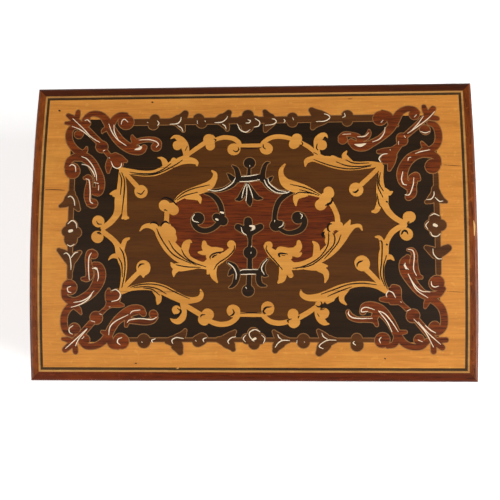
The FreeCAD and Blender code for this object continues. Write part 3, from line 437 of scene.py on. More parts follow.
garland = drawn("""
-41.5,37.6,1.1 43,38.1,1.1
-42,-37,.6 42,-37,.6
-61,17,.8 -61,6,.8 -61,-16,.8
61.7,18,.8 61.7,8,.8 61.9,-15,.8
-33.3,38.7,1.7 -33.7,36.6,1.8
-27.4,37.8,1.2 -25.6,38,1.9 -24,38.8,1.8 -22.8,40.6,1.1
-24.8,37.2,1.6 -23.8,35.6,1.1 -23.3,34.4,.6
-18.2,38.7,1.8 -17,37,1.8
-12.4,37.8,1 -10.6,38.2,1.9 -9,39,1.8 -7.8,40.7,1
-9.8,37.4,1.6 -8.6,35.8,1.1 -8.2,34.6,.6
-1.2,39.6,2 -1.4,35.4,2
-3.4,37.6,1.8 1.2,37.4,2
8.8,37.8,.8 7,38,1.8 5.6,39.2,1.5 4.6,41,.7
6.6,37.2,1.7 5.4,35.4,1.3 4.8,34,.6
14,38.6,1.8 14,36.9,1.7
27,38.3,.8 25,38.6,1.7 22.6,39.4,2 20.6,41.2,1
24.5,38,1.8 22,36.6,1.6 20.9,34.8,.7
32.7,39.1,1.9 32.6,37,1.7
-36,-37.2,2.2 -36,-37.5,2.2
-28,-37.4,1 -25.8,-37.6,1.9 -24.6,-39.2,1.9 -23.8,-41,1
-25,-37,1.7 -23,-35.4,1.2 -22,-33.8,.5
-16.4,-36.6,1.9 -17.8,-37.4,1.9
-10.8,-37,1 -8.6,-37.4,1.9 -7,-38.6,1.7 -6,-40,.8
-8,-36.6,1.6 -6.4,-35.2,1.1 -5.4,-34.2,.5
.8,-34.8,1.9 1,-38.2,1.9
-1.4,-36.6,1.7 3,-36.6,1.8
12.4,-37.1,.9 10.4,-37.3,1.8 8.8,-38.8,1.6 8,-40.4,.9
10,-36.8,1.5 8.6,-35.4,1.1 7.6,-34.2,.5
17.4,-37,2.1 17.4,-37.6,2.1
27.8,-37.1,.9 25.6,-37.4,1.9 23.8,-39.4,1.9 22.6,-41.2,1.1
25,-37,1.7 23.6,-35.4,1.3 22.4,-34,.6
35.1,-38.6,2.1 35,-36.6,1.8
-61,12.4,1.3 -61.4,10.6,1.9 -62.8,9,1.3 -64.6,8.1,.6
-60.6,10.4,1.7 -59.4,8.4,1.3 -58.4,6.9,.6
-60.6,1.3,2 -60.8,-3.4,2.2
-62.1,-.6,1.8 -59,-1,1.8
-64.8,-6.9,.7 -63,-8.2,1.4 -61.2,-10,1.7 -60.6,-12.6,.9 -60.8,-14.6,.5
-57.6,-7.7,.6 -59.2,-9,1.3 -60.6,-10.6,1.4
61.4,13,1.2 61.4,11,1.7 59.8,9.4,1.3 58.4,8.6,.6
62,10.6,1.5 63.4,9.2,1.1 64.8,8.6,.5
61,3.1,1.9 61,-1.1,1.9
59.3,.8,1.7 62.8,.8,1.9
58,-6.6,.7 59.6,-7.6,1.3 61.4,-9,1.6 62.2,-10.4,.8
65,-6.8,1.2 63.6,-7.6,1.5 62,-8.6,1.5""")

glue_line = 0.24
line_drop = 0.01
glue_tone = timber("tan_glue_line", (158, 112, 66), (122, 80, 44), pores=0.2)


def let_in(name, line_name, strokes, lift, wood):
    """Fretsawn pieces of one wood, and the tan glue line that shows round them."""
    lay_veneer(line_name, [ribbon(s, glue_line) for s in strokes], lift - line_drop, glue_tone)
    lay_veneer(name, [ribbon(s) for s in strokes], lift, wood)


garland_wood = timber("garland_walnut", (94, 53, 18), (60, 31, 8), pores=0.4, offset=13.0)
let_in("garland", "garland_line", garland, lift=0.05, wood=garland_wood)

# The corner scrolls: in each corner a three-lobed sprig on a stem, between two leafy C scrolls.
# Fretsawn from red mahogany with its grain left to right, let in with the same tan line.

corner_scrolls = drawn("""
-63.6,40.5,.7 -61.5,39,1.1 -58,36,1.15 -55,33.3,1.05 -51.6,29.9,1
-60.2,41.7,.75 -60.4,40,.9 -61,38.6,.8
-64.2,37.6,.5 -62,37.5,.9 -60.4,37.4,.9
-57,40,.8 -58,38.9,.6 -57.6,37.8,.9 -57,37.4,1.4
-56.9,38.6,.9 -56.4,40.4,.9 -54.4,41,1 -51.9,40.3,1.1 -50.1,38.3,1.3 -48.6,35.6,1.5 -46.6,32.6,1.6
  -43.9,29.7,1.6 -40.6,27.8,1.6 -37.8,27.4,1.4 -36.6,28.4,.9
-49.5,35.8,.8 -51,34.6,.6 -51.3,33.9,.2
-48.2,36.6,1 -47.4,38.8,1.1 -45.6,40.3,.9 -43.4,40.4,.8
-43.4,37.9,2.6 -43.1,37.6,2.6
-40.6,28.6,1.2 -40,30.4,.9 -40.6,31.8,.7 -40.9,32.6,.3
-39.8,30.2,.9 -37.6,31,.85 -35.2,31.3,.8 -33,31,.9 -31.8,30,1 -31.9,28.8,1.1
-32.6,28.6,1.5 -32.3,28.6,1.5
-51.3,28.9,2 -51.1,28.7,2
-50.4,28,.8 -48.6,25.8,.7 -47.4,25,1.5 -46,23.6,2.1 -45.2,22.6,1.6
-46.5,25.6,1 -44.6,24.4,1.2 -42.6,23.6,.4
-47.8,24,1.3 -48.6,21.8,1 -48.6,19.8,.4
-60.4,36.3,.7 -62.3,35.5,1 -62.9,33,1.1 -62.2,30.4,1.1 -60.4,28,1.1 -58,26.2,1.2
-60.6,36.2,.7 -58.9,35.8,.6 -58.4,34.2,.7 -59.2,33.4,1.4 -59.6,33.4,1.4
-57.8,26.4,.9 -56.8,27.6,.7 -56.5,28.6,.3
-60,25.2,1.3 -57.3,25.2,1.6 -54.8,23.4,1.6 -53,20.5,1.6 -51.6,17.4,1.6 -51.2,14.6,1.4 -51.6,12.6,1
  -53,12.2,.5
-60.6,25.2,1.1 -62.3,23.9,1 -63,21.8,.8
-61.1,20.6,2.5 -60.9,20.2,2.5
-56.6,17.8,.5 -55.4,18,.9 -54.8,16.4,1 -55.2,13.8,1.2 -55.4,11.2,1.1 -54.6,9,1.1
-53.7,8.9,1.5 -53.4,8.9,1.5
-54.8,13.4,1.2 -52.2,13.2,1.2
61.7,41.2,.9 60.2,39.2,1.1 57.8,36.8,1.05 55,34.2,1 51.4,31,.9
58.6,42,.7 59,40.4,.9 59.6,39,.8
62.8,37.6,.8 61.2,37.9,.9 60,38.4,.8
55.1,39.2,1.6 55.3,38.9,1.6
56.3,39.8,.9 55.2,41,.9 52.8,41.2,1 50.4,39.8,1.2 48.7,37,1.4 46.8,33.8,1.3 44.2,31.2,1 41.2,29.3,1.1
  38.2,28,1.5 35.6,28.2,1.5 33.8,29.6,1
47.8,35.8,.9 49.5,35.2,.3
47.4,36.6,1.2 46.6,39,1.1 44.6,40.1,.8
43.9,38.1,2.4 43.7,37.8,2.4
36.8,29.6,1.1 36,31.5,.8 33.8,32.2,.75 31.6,32.3,.8 30.4,31.2,.9
31.1,30.5,1.4 30.9,30.3,1.4
37,30.4,.9 39,31.2,.8 39.8,32.6,.7 39.9,33.6,.3
50.8,30.7,1.8 50.9,29.8,1.8
50.6,29,.7 48.6,26.9,1.2 46.4,24.8,2.1 45.2,23.4,1.6
47,26.3,1.1 44.6,26.2,.9 42.9,26,.6
47.6,24.4,1.3 47,22,1.1 46.3,19.8,.5
60.2,36,.8 62,35.2,1 63,32.8,1.1 63,30,1.1 62,27.8,1.1 60,26.4,1.1 57.8,26,1.2
58.5,33.7,1.6 58.8,33.5,1.6
58.8,27,.8 57.9,28.2,.7 57.4,29.2,.3
60,25,1.2 57,25.2,1.3 54,24,1.5 51.8,21.6,1.6 50.6,18.6,1.7 50.8,15.8,1.5 52.4,14,1.2
60.6,25,1.2 62.4,23.6,1 62.8,21.6,.8
60.8,20.9,2.4 60.6,20.7,2.4
53.6,17,.9 55.2,17.8,.9 56,16.4,.6
54.6,17,1.2 53.6,14,1.5 53.6,11.6,1.4 52.5,10.3,1.1
-62.8,-40.3,.9 -60.6,-38.4,1.1 -57.6,-35.6,1 -54.6,-32.4,.95 -52,-29.6,.9
-63.4,-36.7,.55 -61.6,-37,.9 -60.2,-38,.9
-59.2,-41,.8 -59.4,-39.4,.9 -60,-38.2,.8
-56.2,-36.7,1.6 -55.9,-36.9,1.6
-57.2,-37.6,.9 -55.6,-39,1 -53,-39.1,1 -50.4,-38,1.1 -48.4,-36,1.3 -46.9,-33.2,1.3 -45,-30.6,1.3
  -42.5,-28.6,1.6 -39.8,-27.2,1.7 -37.2,-27,1.4 -36,-28.2,.9
-48.4,-35,.9 -50,-34.3,.5
-47.8,-36.2,1.2 -46.8,-38.6,1.1 -44.8,-39.5,.7
-43.8,-37.3,2.5 -43.5,-37.5,2.5
-41.9,-32.2,.5 -41.2,-30.6,.9 -38.5,-30.8,.8 -35.8,-31,.9 -33.2,-30.6,.9 -31.7,-29.6,.5
-41.8,-29,1.2 -41,-30.4,1
-32.7,-28.4,1.3 -32.5,-28.6,1.3
-52.1,-29.5,2 -51.9,-29.7,2
-51,-28.6,.7 -48.6,-26.4,.6 -47.2,-24.8,1.5 -45.9,-23,2.1 -45,-21.6,1.6
-46.4,-25,1 -44.4,-25.2,.9 -42.9,-25.5,.4
-47.6,-23.4,1.2 -47.9,-21.4,.9 -47.7,-20.2,.4
-60.2,-35.3,.8 -62.2,-34.2,1 -63,-31.6,1.1 -62.8,-28.8,1.1 -61.6,-26.6,1.1 -59.8,-25.2,1.2
-59.5,-33.1,1.7 -59.2,-33.3,1.7
-59.4,-25.8,.8 -58,-26.8,.8 -57.2,-28.2,.3
-61.6,-23.6,1.1 -59.2,-24.2,1.3 -56.4,-23.2,1.4 -53.4,-21,1.5 -51.4,-18,1.8 -50.6,-15,1.8 -51.2,-12.6,1.4
  -52.6,-11.8,.8
-63,-20.6,.8 -62.6,-22.6,1 -61,-24,1.1
-61.1,-19.3,2.4 -60.9,-19.5,2.4
-56.6,-16.6,.5 -55.2,-16.6,.9 -54.2,-15.4,1.2 -54.4,-12.8,1.1 -54.8,-10.2,.9 -54.4,-8,.9 -53.4,-7.4,.7
-53,-8.3,1.3 -52.8,-8.5,1.3
63,-39.4,.9 61.2,-37.8,1.1 58.6,-35,1.05 56,-32,1 53.6,-29.2,.9
60.2,-40.7,.85 60.2,-38.8,.9 60.6,-37.4,.8
64.2,-36.9,.8 62,-37,.9 60.6,-37,.8
55.4,-36.7,1.6 55.3,-36.9,1.6
58,-37.4,.9 56.2,-39,1 53.4,-39.2,1 50.8,-38.2,1.1 48.8,-36,1.2 47.2,-33,1.3 45.4,-30,1.4 43,-27.4,1.7
  40.2,-26.2,1.7 37.8,-26.2,1.4 37,-27.6,1
48.6,-34.6,.9 51,-34.3,.5
48.4,-35.8,1.1 47.4,-38.2,1 45.2,-39,.7
43.5,-36.9,2.4 43.3,-37.1,2.4
41.6,-32,.5 40.6,-30.4,.9 37.8,-30.2,.8 35.2,-30.2,.8 33,-29.2,.9 32.2,-27.8,.7
41.4,-28.2,1.2 40.6,-30,1
53.5,-28.9,2.1 53.3,-29.1,2.1
52,-27.2,.7 49.6,-25,.7 48.2,-23.6,1.7 46.9,-22.2,2 46.2,-21.2,1.5
46.2,-23.4,1.2 44.4,-23.6,.9 43,-23.6,.5
48.4,-22,1.2 48.4,-20.2,1 47,-19.6,.8
48,-24.4,.9 46.4,-24.6,.7
58.6,-23,1.2 60.8,-24.4,1.1 62.8,-26.6,1.1 63.6,-29.6,1.1 63.4,-32.4,1.1 62,-34.2,1 60,-34.5,.8
60.5,-32.5,1.7 60.3,-32.7,1.7
58.4,-23.8,.9 57.8,-25,.8 57.4,-26.2,.4
59.6,-22.4,1.2 57,-22,1.3 54.6,-19.8,1.4 52.6,-17,1.6 51.2,-14.2,1.9 50.8,-11.6,1.6 51.8,-9.8,.8
58.8,-22.6,1.2 61.6,-22,1.1 63.2,-20.2,.9
61.3,-18.2,2.4 61.1,-18.4,2.4
56.2,-16.4,.5 55,-15.9,1 54,-14,1.3 53.8,-11.2,1.2 54,-8.8,.9 53.2,-7.4,.7 52,-7.3,.4""")

scroll_wood = timber("scroll_mahogany", (136, 61, 18), (56, 20, 3), pores=0.5, offset=17.0, fibre=0.8)
let_in("corner_scrolls", "corner_scroll_line", corner_scrolls, lift=0.07, wood=scroll_wood)

# The candelabrum: a black standard of balls, bars and a flower, with side scrolls, up the middle.
# Black-dyed pieces let into the mahogany and walnut, edged by a tan line.

candelabrum = drawn("""
-.6,22.5,1.85 -.4,22.5,1.85
-.6,21,.5 -.7,18,.6
-4,17.1,1.05 0,17.1,1.05 3,17.5,1.05
-4.3,16.6,.9 -4.4,18.6,.85 -5,20.5,.7 -6.2,21.6,.25
-5,16.6,.8 -6.4,17.2,.9 -7.4,18.4,.5 -7.9,18.8,.2
-4.6,17,.9 -6.2,15.2,.9 -8.4,13.8,.7 -11,13.1,.6 -14.4,13.1,.3
4,16.6,.9 4,18.8,.8 4.5,21,.7 5.3,22.4,.5 6.2,22.6,.2
5.2,15.8,.8 6.4,16.8,.7 7.2,17.5,.3
4.2,17,.8 5.3,15.2,.9 7.2,13.5,.9 9.8,12.4,.7 13.4,12.4,.4
-1.4,15.4,.4 -2.4,12.5,.9 -3.6,10.4,.9 -4.8,9.9,.4
-1.2,15.4,.5 -.9,12,1 -.5,9.4,1.1 -.3,8,.4
-1,15.4,.4 .6,12.3,.9 2,10.6,.9 3.7,10.2,.3
-15.5,12.2,.3 -13.2,11.6,.7 -11.2,9.8,.85 -10,7.3,.85 -9.5,4.6,.8
-9.4,2.8,1.5 -9.2,2.6,1.5
-11.5,3.9,1.35 -11.3,3.7,1.35
-10.6,2,.9 -12.6,.2,.8 -15.2,-.6,.85 -17.6,0,.85 -19.1,1.8,.8 -19.3,3.6,.7
-17.8,3.6,2 -17.6,3.5,2
13.9,12.1,.4 11.6,11.2,.8 9.6,9.4,.85 8.5,7,.8 8,4,.75 8,2,.9
8.3,1.1,1.9 8.5,1,1.9
9.8,1.4,1.3 10,1.2,1.3
9.4,0,.6 12,-1.4,.65 14.6,-1.3,.8 17,-.1,.9 18,2.2,.9 17.2,4.2,.9
15.7,3.7,1.95 15.8,3.5,1.95
-.9,2.6,1.3 -.8,.8,1.4
-4.3,.6,1.05 -2.4,-.3,1.3 -.6,-.8,1.8
3.2,.6,1.05 1.4,-.3,1.3 -.4,-.8,1.8
-.5,-.9,1.9 -.3,-3.2,.65 -.3,-6.4,.65
-.3,-8,2.1 -.1,-8,2.1
-.3,-9.6,.75 -.3,-13.6,.8
-3.4,-14.5,.75 0,-14.4,.8 2.4,-14.4,.8
-7.6,-11.2,.4 -5.6,-12.6,.9 -4.6,-15,1 -5,-17.4,.9 -6,-19,.6 -7.1,-19.6,.25
-5.2,-13.4,.9 -6.4,-14.4,.9 -7.3,-15.5,.3
5.7,-10.1,.3 4.2,-12,.7 3.8,-14,1 4.6,-15.4,.8 5.6,-15.8,.2
3.2,-14,.9 2.6,-16.6,.9 3.2,-18.5,.8 5,-19.1,.3
-.5,-15,.75 -.7,-19.4,.8
-1,-20.7,1.95 -.8,-20.7,1.95""")

black_wood = timber("candelabrum_black", (42, 28, 14), (26, 16, 7), offset=19.0)
let_in("candelabrum", "candelabrum_line", candelabrum, lift=0.09, wood=black_wood)

# The pale arabesque: the cartouche's leafy frame with its balls and volutes.
# Maple fretsawn in short lengths and fitted along the edge between the black and the walnut.

cartouche_frame = drawn("""
-44.6,21,.6 -41,19.9,.95 -37,19.2,1 -33,19.3,1.05 -29.5,20.7,1.2 -26.5,22.4,1.3 -23.5,23.5,1.3
  -20.5,23.6,1.1 -18.6,22.9,.8 -18.3,21.8,.3
-29,21.3,1 -29.4,23.2,.95 -30.4,24.4,.6 -31.7,24.7,.2
-26.6,22.8,1 -26.3,23.8,.9
-24.5,23.8,.9 -22.8,24.6,.8
-22,24.6,.9 -22.2,27,1.2 -23,29.5,1.4 -24.5,31.4,1.1 -26.2,32.2,.6 -27.5,31.5,.15
-25.3,29.2,1.5 -25.2,28.8,1.5
-22,25.2,.6 -19.5,27.2,.75 -17,29,.8 -15,30.4,.8
-14.5,31.1,1.9 -14.1,30.9,2
-14,29.2,1.6 -13.9,28.7,1.6
-13,30.6,.6 -10.5,31.5,.75 -8.5,31.7,.8 -6,31.2,.8 -4.4,30,.8 -3.9,28.8,.8
-6,27.4,2.1 -5.7,27.4,2.1
-4.2,28.5,.75 0,28.6,.75 4,28.6,.75
-44.4,20.8,.5 -44.2,17,1 -43.9,13,1.7 -44.2,10,1.9 -44.6,7,1.5 -45.6,4.6,1.1 -47.5,2.3,1 -49.8,.6,.9
-43.2,19,.4 -42.7,14,.6 -42.6,9,.7 -42.6,5.5,.8 -42.3,4.2,1 -41.4,3.9,.4
-42.6,4.8,.8 -43.3,3.8,.4
-44.8,13.2,.8 -46.3,12.6,.8 -47.5,12.2,.4
-45,11.4,.8 -46.4,11.8,.6
-51.6,2.8,2 -51.4,2.7,2
-43.6,20.4,.6 -41,17.4,.75 -38.8,15,.8
-37.3,13,2.2 -37.1,12.8,2.2
43.6,21.6,.6 40,21.5,1.2 36,21.2,1.4 32,21.4,1.8 28,22.4,2 24,23.3,1.5 20.8,23.8,1 18.8,23,.9 18.3,21.3,.3
33.5,22.2,1 31.9,23.8,1.1 31.5,25.1,.8 32.2,26.3,.25
28.4,23.6,.9 27.4,24.1,.8
24,24,1 22,25,.9
22.6,25,.9 22.2,28,1 22.6,30.4,1.3 24,32,1 25.2,32.2,.6 25.9,31.2,.15
24,28.8,1.6 24,28.4,1.6
22.2,25.4,.6 19.7,27.8,.75 17,29.5,.7
15.5,31,1.8 15.4,30.7,1.8
14.8,29.2,1.7 14.4,29,1.7
14.5,30.6,.6 12,31.4,.75 9,31.8,.8 6.3,31.2,.8 4.3,29.8,.8 3.8,28.8,.8
5,27.6,2.1 5.3,27.5,2.1
44,21,.6 43.3,17,1 43.3,13,1.5 44,10,1.9 44.7,7.4,1.2 46.2,4.9,1 48.3,3,.9 50.8,1.6,.9
44.6,12.8,.8 46,11.7,.9 47.1,12.1,.3
43,9.5,.9 42.4,7,.9 41.6,5.7,.8 40.5,5.5,.4
52.4,3.5,2 52.8,3.6,1.9
43.6,21.2,.7 40,17.6,.75 37,14.8,.8
35.1,13.1,2.3 35.3,12.9,2.3
-43.2,-21.2,.6 -40.2,-19.9,.8 -36.8,-19.3,1.1 -33,-19.2,1.4 -29.2,-20.4,1.7 -25.8,-22.1,1.6 -22.5,-23.6,1.4
  -19.5,-23.8,1 -17.2,-23.2,.9 -16.4,-21.8,.7 -16.8,-20.3,.25
-32.2,-20.4,.9 -30.9,-22.4,1 -30.9,-24,.9 -31.2,-24.9,.4
-26.5,-22.7,.8 -25.4,-23.3,.7
-22.8,-24.8,.9 -22.3,-27.6,.9 -22.9,-29.6,1.1 -24.4,-30.8,1 -26,-30.6,.6 -26.9,-29.9,.15
-24.9,-27,1.5 -24.7,-27.3,1.5
-22.5,-25.2,.8 -19.8,-26.8,.85 -16.6,-28.7,.85
-14.5,-28.4,1.9 -14.2,-28.6,1.9
-15.9,-30.2,1.8 -15.6,-30.4,1.8
-15,-30.2,.7 -11.8,-31.5,.85 -9.5,-31.8,.85 -7,-31.3,.85 -5,-29.9,.85 -4.2,-28.6,.8
-6,-27.3,2.1 -5.6,-27.5,2.1
-4.4,-28.5,.75 0,-28.6,.75 4,-28.6,.75
-43.5,-20.6,.7 -42.8,-16.5,.8 -42.6,-13,1.1 -43.2,-10,1.6 -44,-7.5,1.5 -45,-5.1,1 -46.9,-3,.85 -49.8,-.8,.85
-44.2,-9.2,.9 -45.8,-8.9,.8 -47,-9.4,.5 -47.8,-10.3,.15
-43.5,-7.4,.9 -42.8,-5,.8 -42.2,-3.7,.7 -41,-3.1,.4
-51.8,-2.4,2 -51.6,-2.6,2
-43.4,-20.4,.7 -40.5,-17.4,.8 -37.8,-14.7,.8
-36,-12.8,2.4 -36,-13.2,2.4
-36,-14,1.8 -36,-16,.3
44.4,-21.2,.5 41.5,-19.2,.9 37.5,-18.5,.9 33.5,-18.9,1 29.5,-20.3,1.5 25.8,-22.3,1.9 22,-23,1.3 18.8,-23,1
  17,-22,.8 16.6,-20.6,.25
31.8,-20.2,.9 30.2,-22.2,.95 30.2,-24,.8 31.5,-25.2,.3
26.8,-23.4,1 25.4,-24.4,.7
23.4,-24.2,1 22.4,-25.2,.9
22.2,-25.2,.9 22.1,-28,1 23,-30,1.2 24.4,-31.3,.9 25.8,-31.7,.2
24.4,-28,1.6 24.2,-28.4,1.6
22.2,-25.6,.7 19.3,-27.7,.85 16,-29.6,.85
14,-28.4,1.8 14,-28.7,1.8
14.2,-31.1,1.95 14.4,-31,1.95
13.6,-30.4,.7 11.5,-31.1,.8 9,-31.4,.85 6.3,-30.8,.85 4.6,-29.4,.8 3.8,-28.6,.75
5.6,-26.4,2.2 5.6,-26.7,2.2
44.8,-20.6,.7 43.5,-17,.8 43.2,-13,1 43.9,-9,1.6 44.5,-6,1.2 45.3,-3.9,.9 46.8,-1.6,.9 48.6,-.2,.9 51,.9,.9
44.8,-9.8,.9 46.2,-9.7,.8 47.3,-10.7,.25
43.7,-7,.9 43.4,-4.6,.8 42.6,-3.1,.6 41.4,-3,.3
51.4,-2,2.1 51.6,-2.2,2.1
38.2,-13.8,.9 40.8,-16.4,.8 44,-19.9,.7
36.8,-11.6,2.5 37,-11.9,2.5""")

arabesque_wood = timber("arabesque_maple", (214, 150, 68), (186, 122, 49), pores=0.12, offset=23.0)
frame_outlines = [ribbon(s) for s in cartouche_frame]
lay_veneer("cartouche_frame", frame_outlines, lift=0.1, material=arabesque_wood)

# The pale centre: two acanthus branches that end in dolphin heads, round the mahogany.
# Maple again, fretsawn and let in like the frame.

dolphin_branches = drawn("""
-29.2,8.1,1.9 -28.9,7.8,1.9
-26.6,7.2,1.8 -26,6.5,1.8
-28.2,6.5,.9 -28.3,4,.85 -28.4,1.6,.9
-25.8,9.2,.5 -23.2,11.3,1.1 -20,12.6,1.4 -16.8,13.6,1.6 -14,14.9,1.5 -12.5,16.8,1 -12.1,18.8,.7
  -13.2,19.9,.3
-21.5,11,.9 -18.9,11,1.1 -17.4,10.3,.9 -17,8.7,.2
-37.3,-.5,.2 -36,.9,.6 -34,1.2,.9 -31.6,.2,1.3 -29.5,-2.6,2 -27,-6,2.3 -23.8,-9,2.2 -20.2,-11,1.6
  -16.8,-12.1,1.2 -14,-12.4,1.2
-28.5,1,1.6 -28.2,.6,1.6
-27,-.6,1.6 -26.7,-1,1.6
-26.3,-2.8,1.5 -26.2,-3.2,1.5
-21,-10,1.1 -22,-7.6,1.2 -21.6,-5.3,1.3 -20.5,-4.2,.7 -19.8,-4.5,.2
-17,-12.6,.5 -20.5,-12.8,1 -23.8,-12.8,1.4 -25.8,-12.4,.9 -26.6,-11.4,.3
-24.5,-13.2,1 -25.6,-14.4,.8 -25.8,-15.9,.2
-15.6,-4.6,.7 -15.2,-6.2,1.2 -13.5,-7.4,1.4 -11.5,-7.2,1.1 -9.6,-7,.5
-14.5,-7.6,1.2 -16,-8,.8 -17.4,-7.9,.35
-15,-12.2,1.4 -12.5,-11,2 -9.8,-9.8,1.5 -7.4,-8.1,1.2 -6,-6.4,.9 -5.9,-5.2,.9
-13.6,-9.2,1.4 -11,-9.4,1.2
-6.6,-5.2,1.3 -6.4,-5.2,1.3
-12.8,-12.2,1.8 -12.7,-14.2,1.3 -12.2,-16.2,.9 -11.2,-17.8,.3
-13.6,-13.2,1.1 -14.3,-14.8,.5
26,12.4,1.7 26.2,11.7,1.7
25,10.6,1.6 24.4,9.6,1.6
23.6,8.1,1.9 23.3,7.9,1.9
26.2,9.4,.9 27.9,6.4,.85 28.8,3.8,.85 28.9,1.4,.9
23.8,10.7,.5 20.8,12,1.1 17.5,13.3,1.6 14,14.3,1.9 11.6,15.6,1.6 10.3,17.8,1 10.2,20,.75 11.4,21.9,.3
18.5,11.6,.9 15.9,11.2,1.2 15,9.8,.9 15.1,7.8,.3
37,-.7,.25 36.2,.7,.6 34.4,.6,.7 32.2,-.8,1.4 29.6,-3.4,2.1 26.9,-6.6,2.1 23.6,-9.4,1.8 20,-11.4,1.5
  16.3,-12.5,1.3 13,-12.6,1.3
31.2,-.5,1.2 32.2,1,.9 33,2.5,.3
27.4,.7,1.5 27.2,.5,1.5
29.4,.9,1.3 29.2,.4,1.3
25.8,-1.5,1.7 26,-1.9,1.7
26.2,-4,1.6 26.2,-4.4,1.6
21.5,-9.6,1 21.9,-7.4,1.1 21.7,-5.6,.9 20.7,-4.5,.3
18,-13.2,.6 21,-13.1,1 23.4,-12.7,1.2 25.2,-12.6,.4
22.5,-13.4,1 24.6,-14.4,1.1 25.1,-16.2,.8 24.6,-18,.25
16,-4.6,.7 16,-6.2,1.1 14.5,-7.6,1.3 12.2,-7.5,1.1 9.8,-6.9,.9 8.7,-7.2,.4
14.5,-8.2,1.2 15.8,-8.8,.9 16.7,-8.4,.4
13.2,-12.4,1.6 11,-11.2,2.1 9,-9.6,1.9 7,-8.2,1.5 5.8,-6.8,1.1 5.3,-5.8,1
12.6,-9.4,1.3 10,-8.8,1.3
5.7,-5.7,1.3 6,-5.6,1.3
11.2,-12.5,1.9 10.8,-14.6,1.4 10.3,-16.8,1.2 9.2,-18,.4
12.2,-13.6,1.2 13.3,-15.6,.9""")

branch_outlines = [ribbon(s) for s in dolphin_branches]
lay_veneer("dolphin_branches", branch_outlines, lift=0.11, material=arabesque_wood)

# The engraving: lines cut into the finished marquetry with a burin to draw veins and volutes.
# Filled with pale mastic on the dark woods and with black on the maple, then lacquered over.

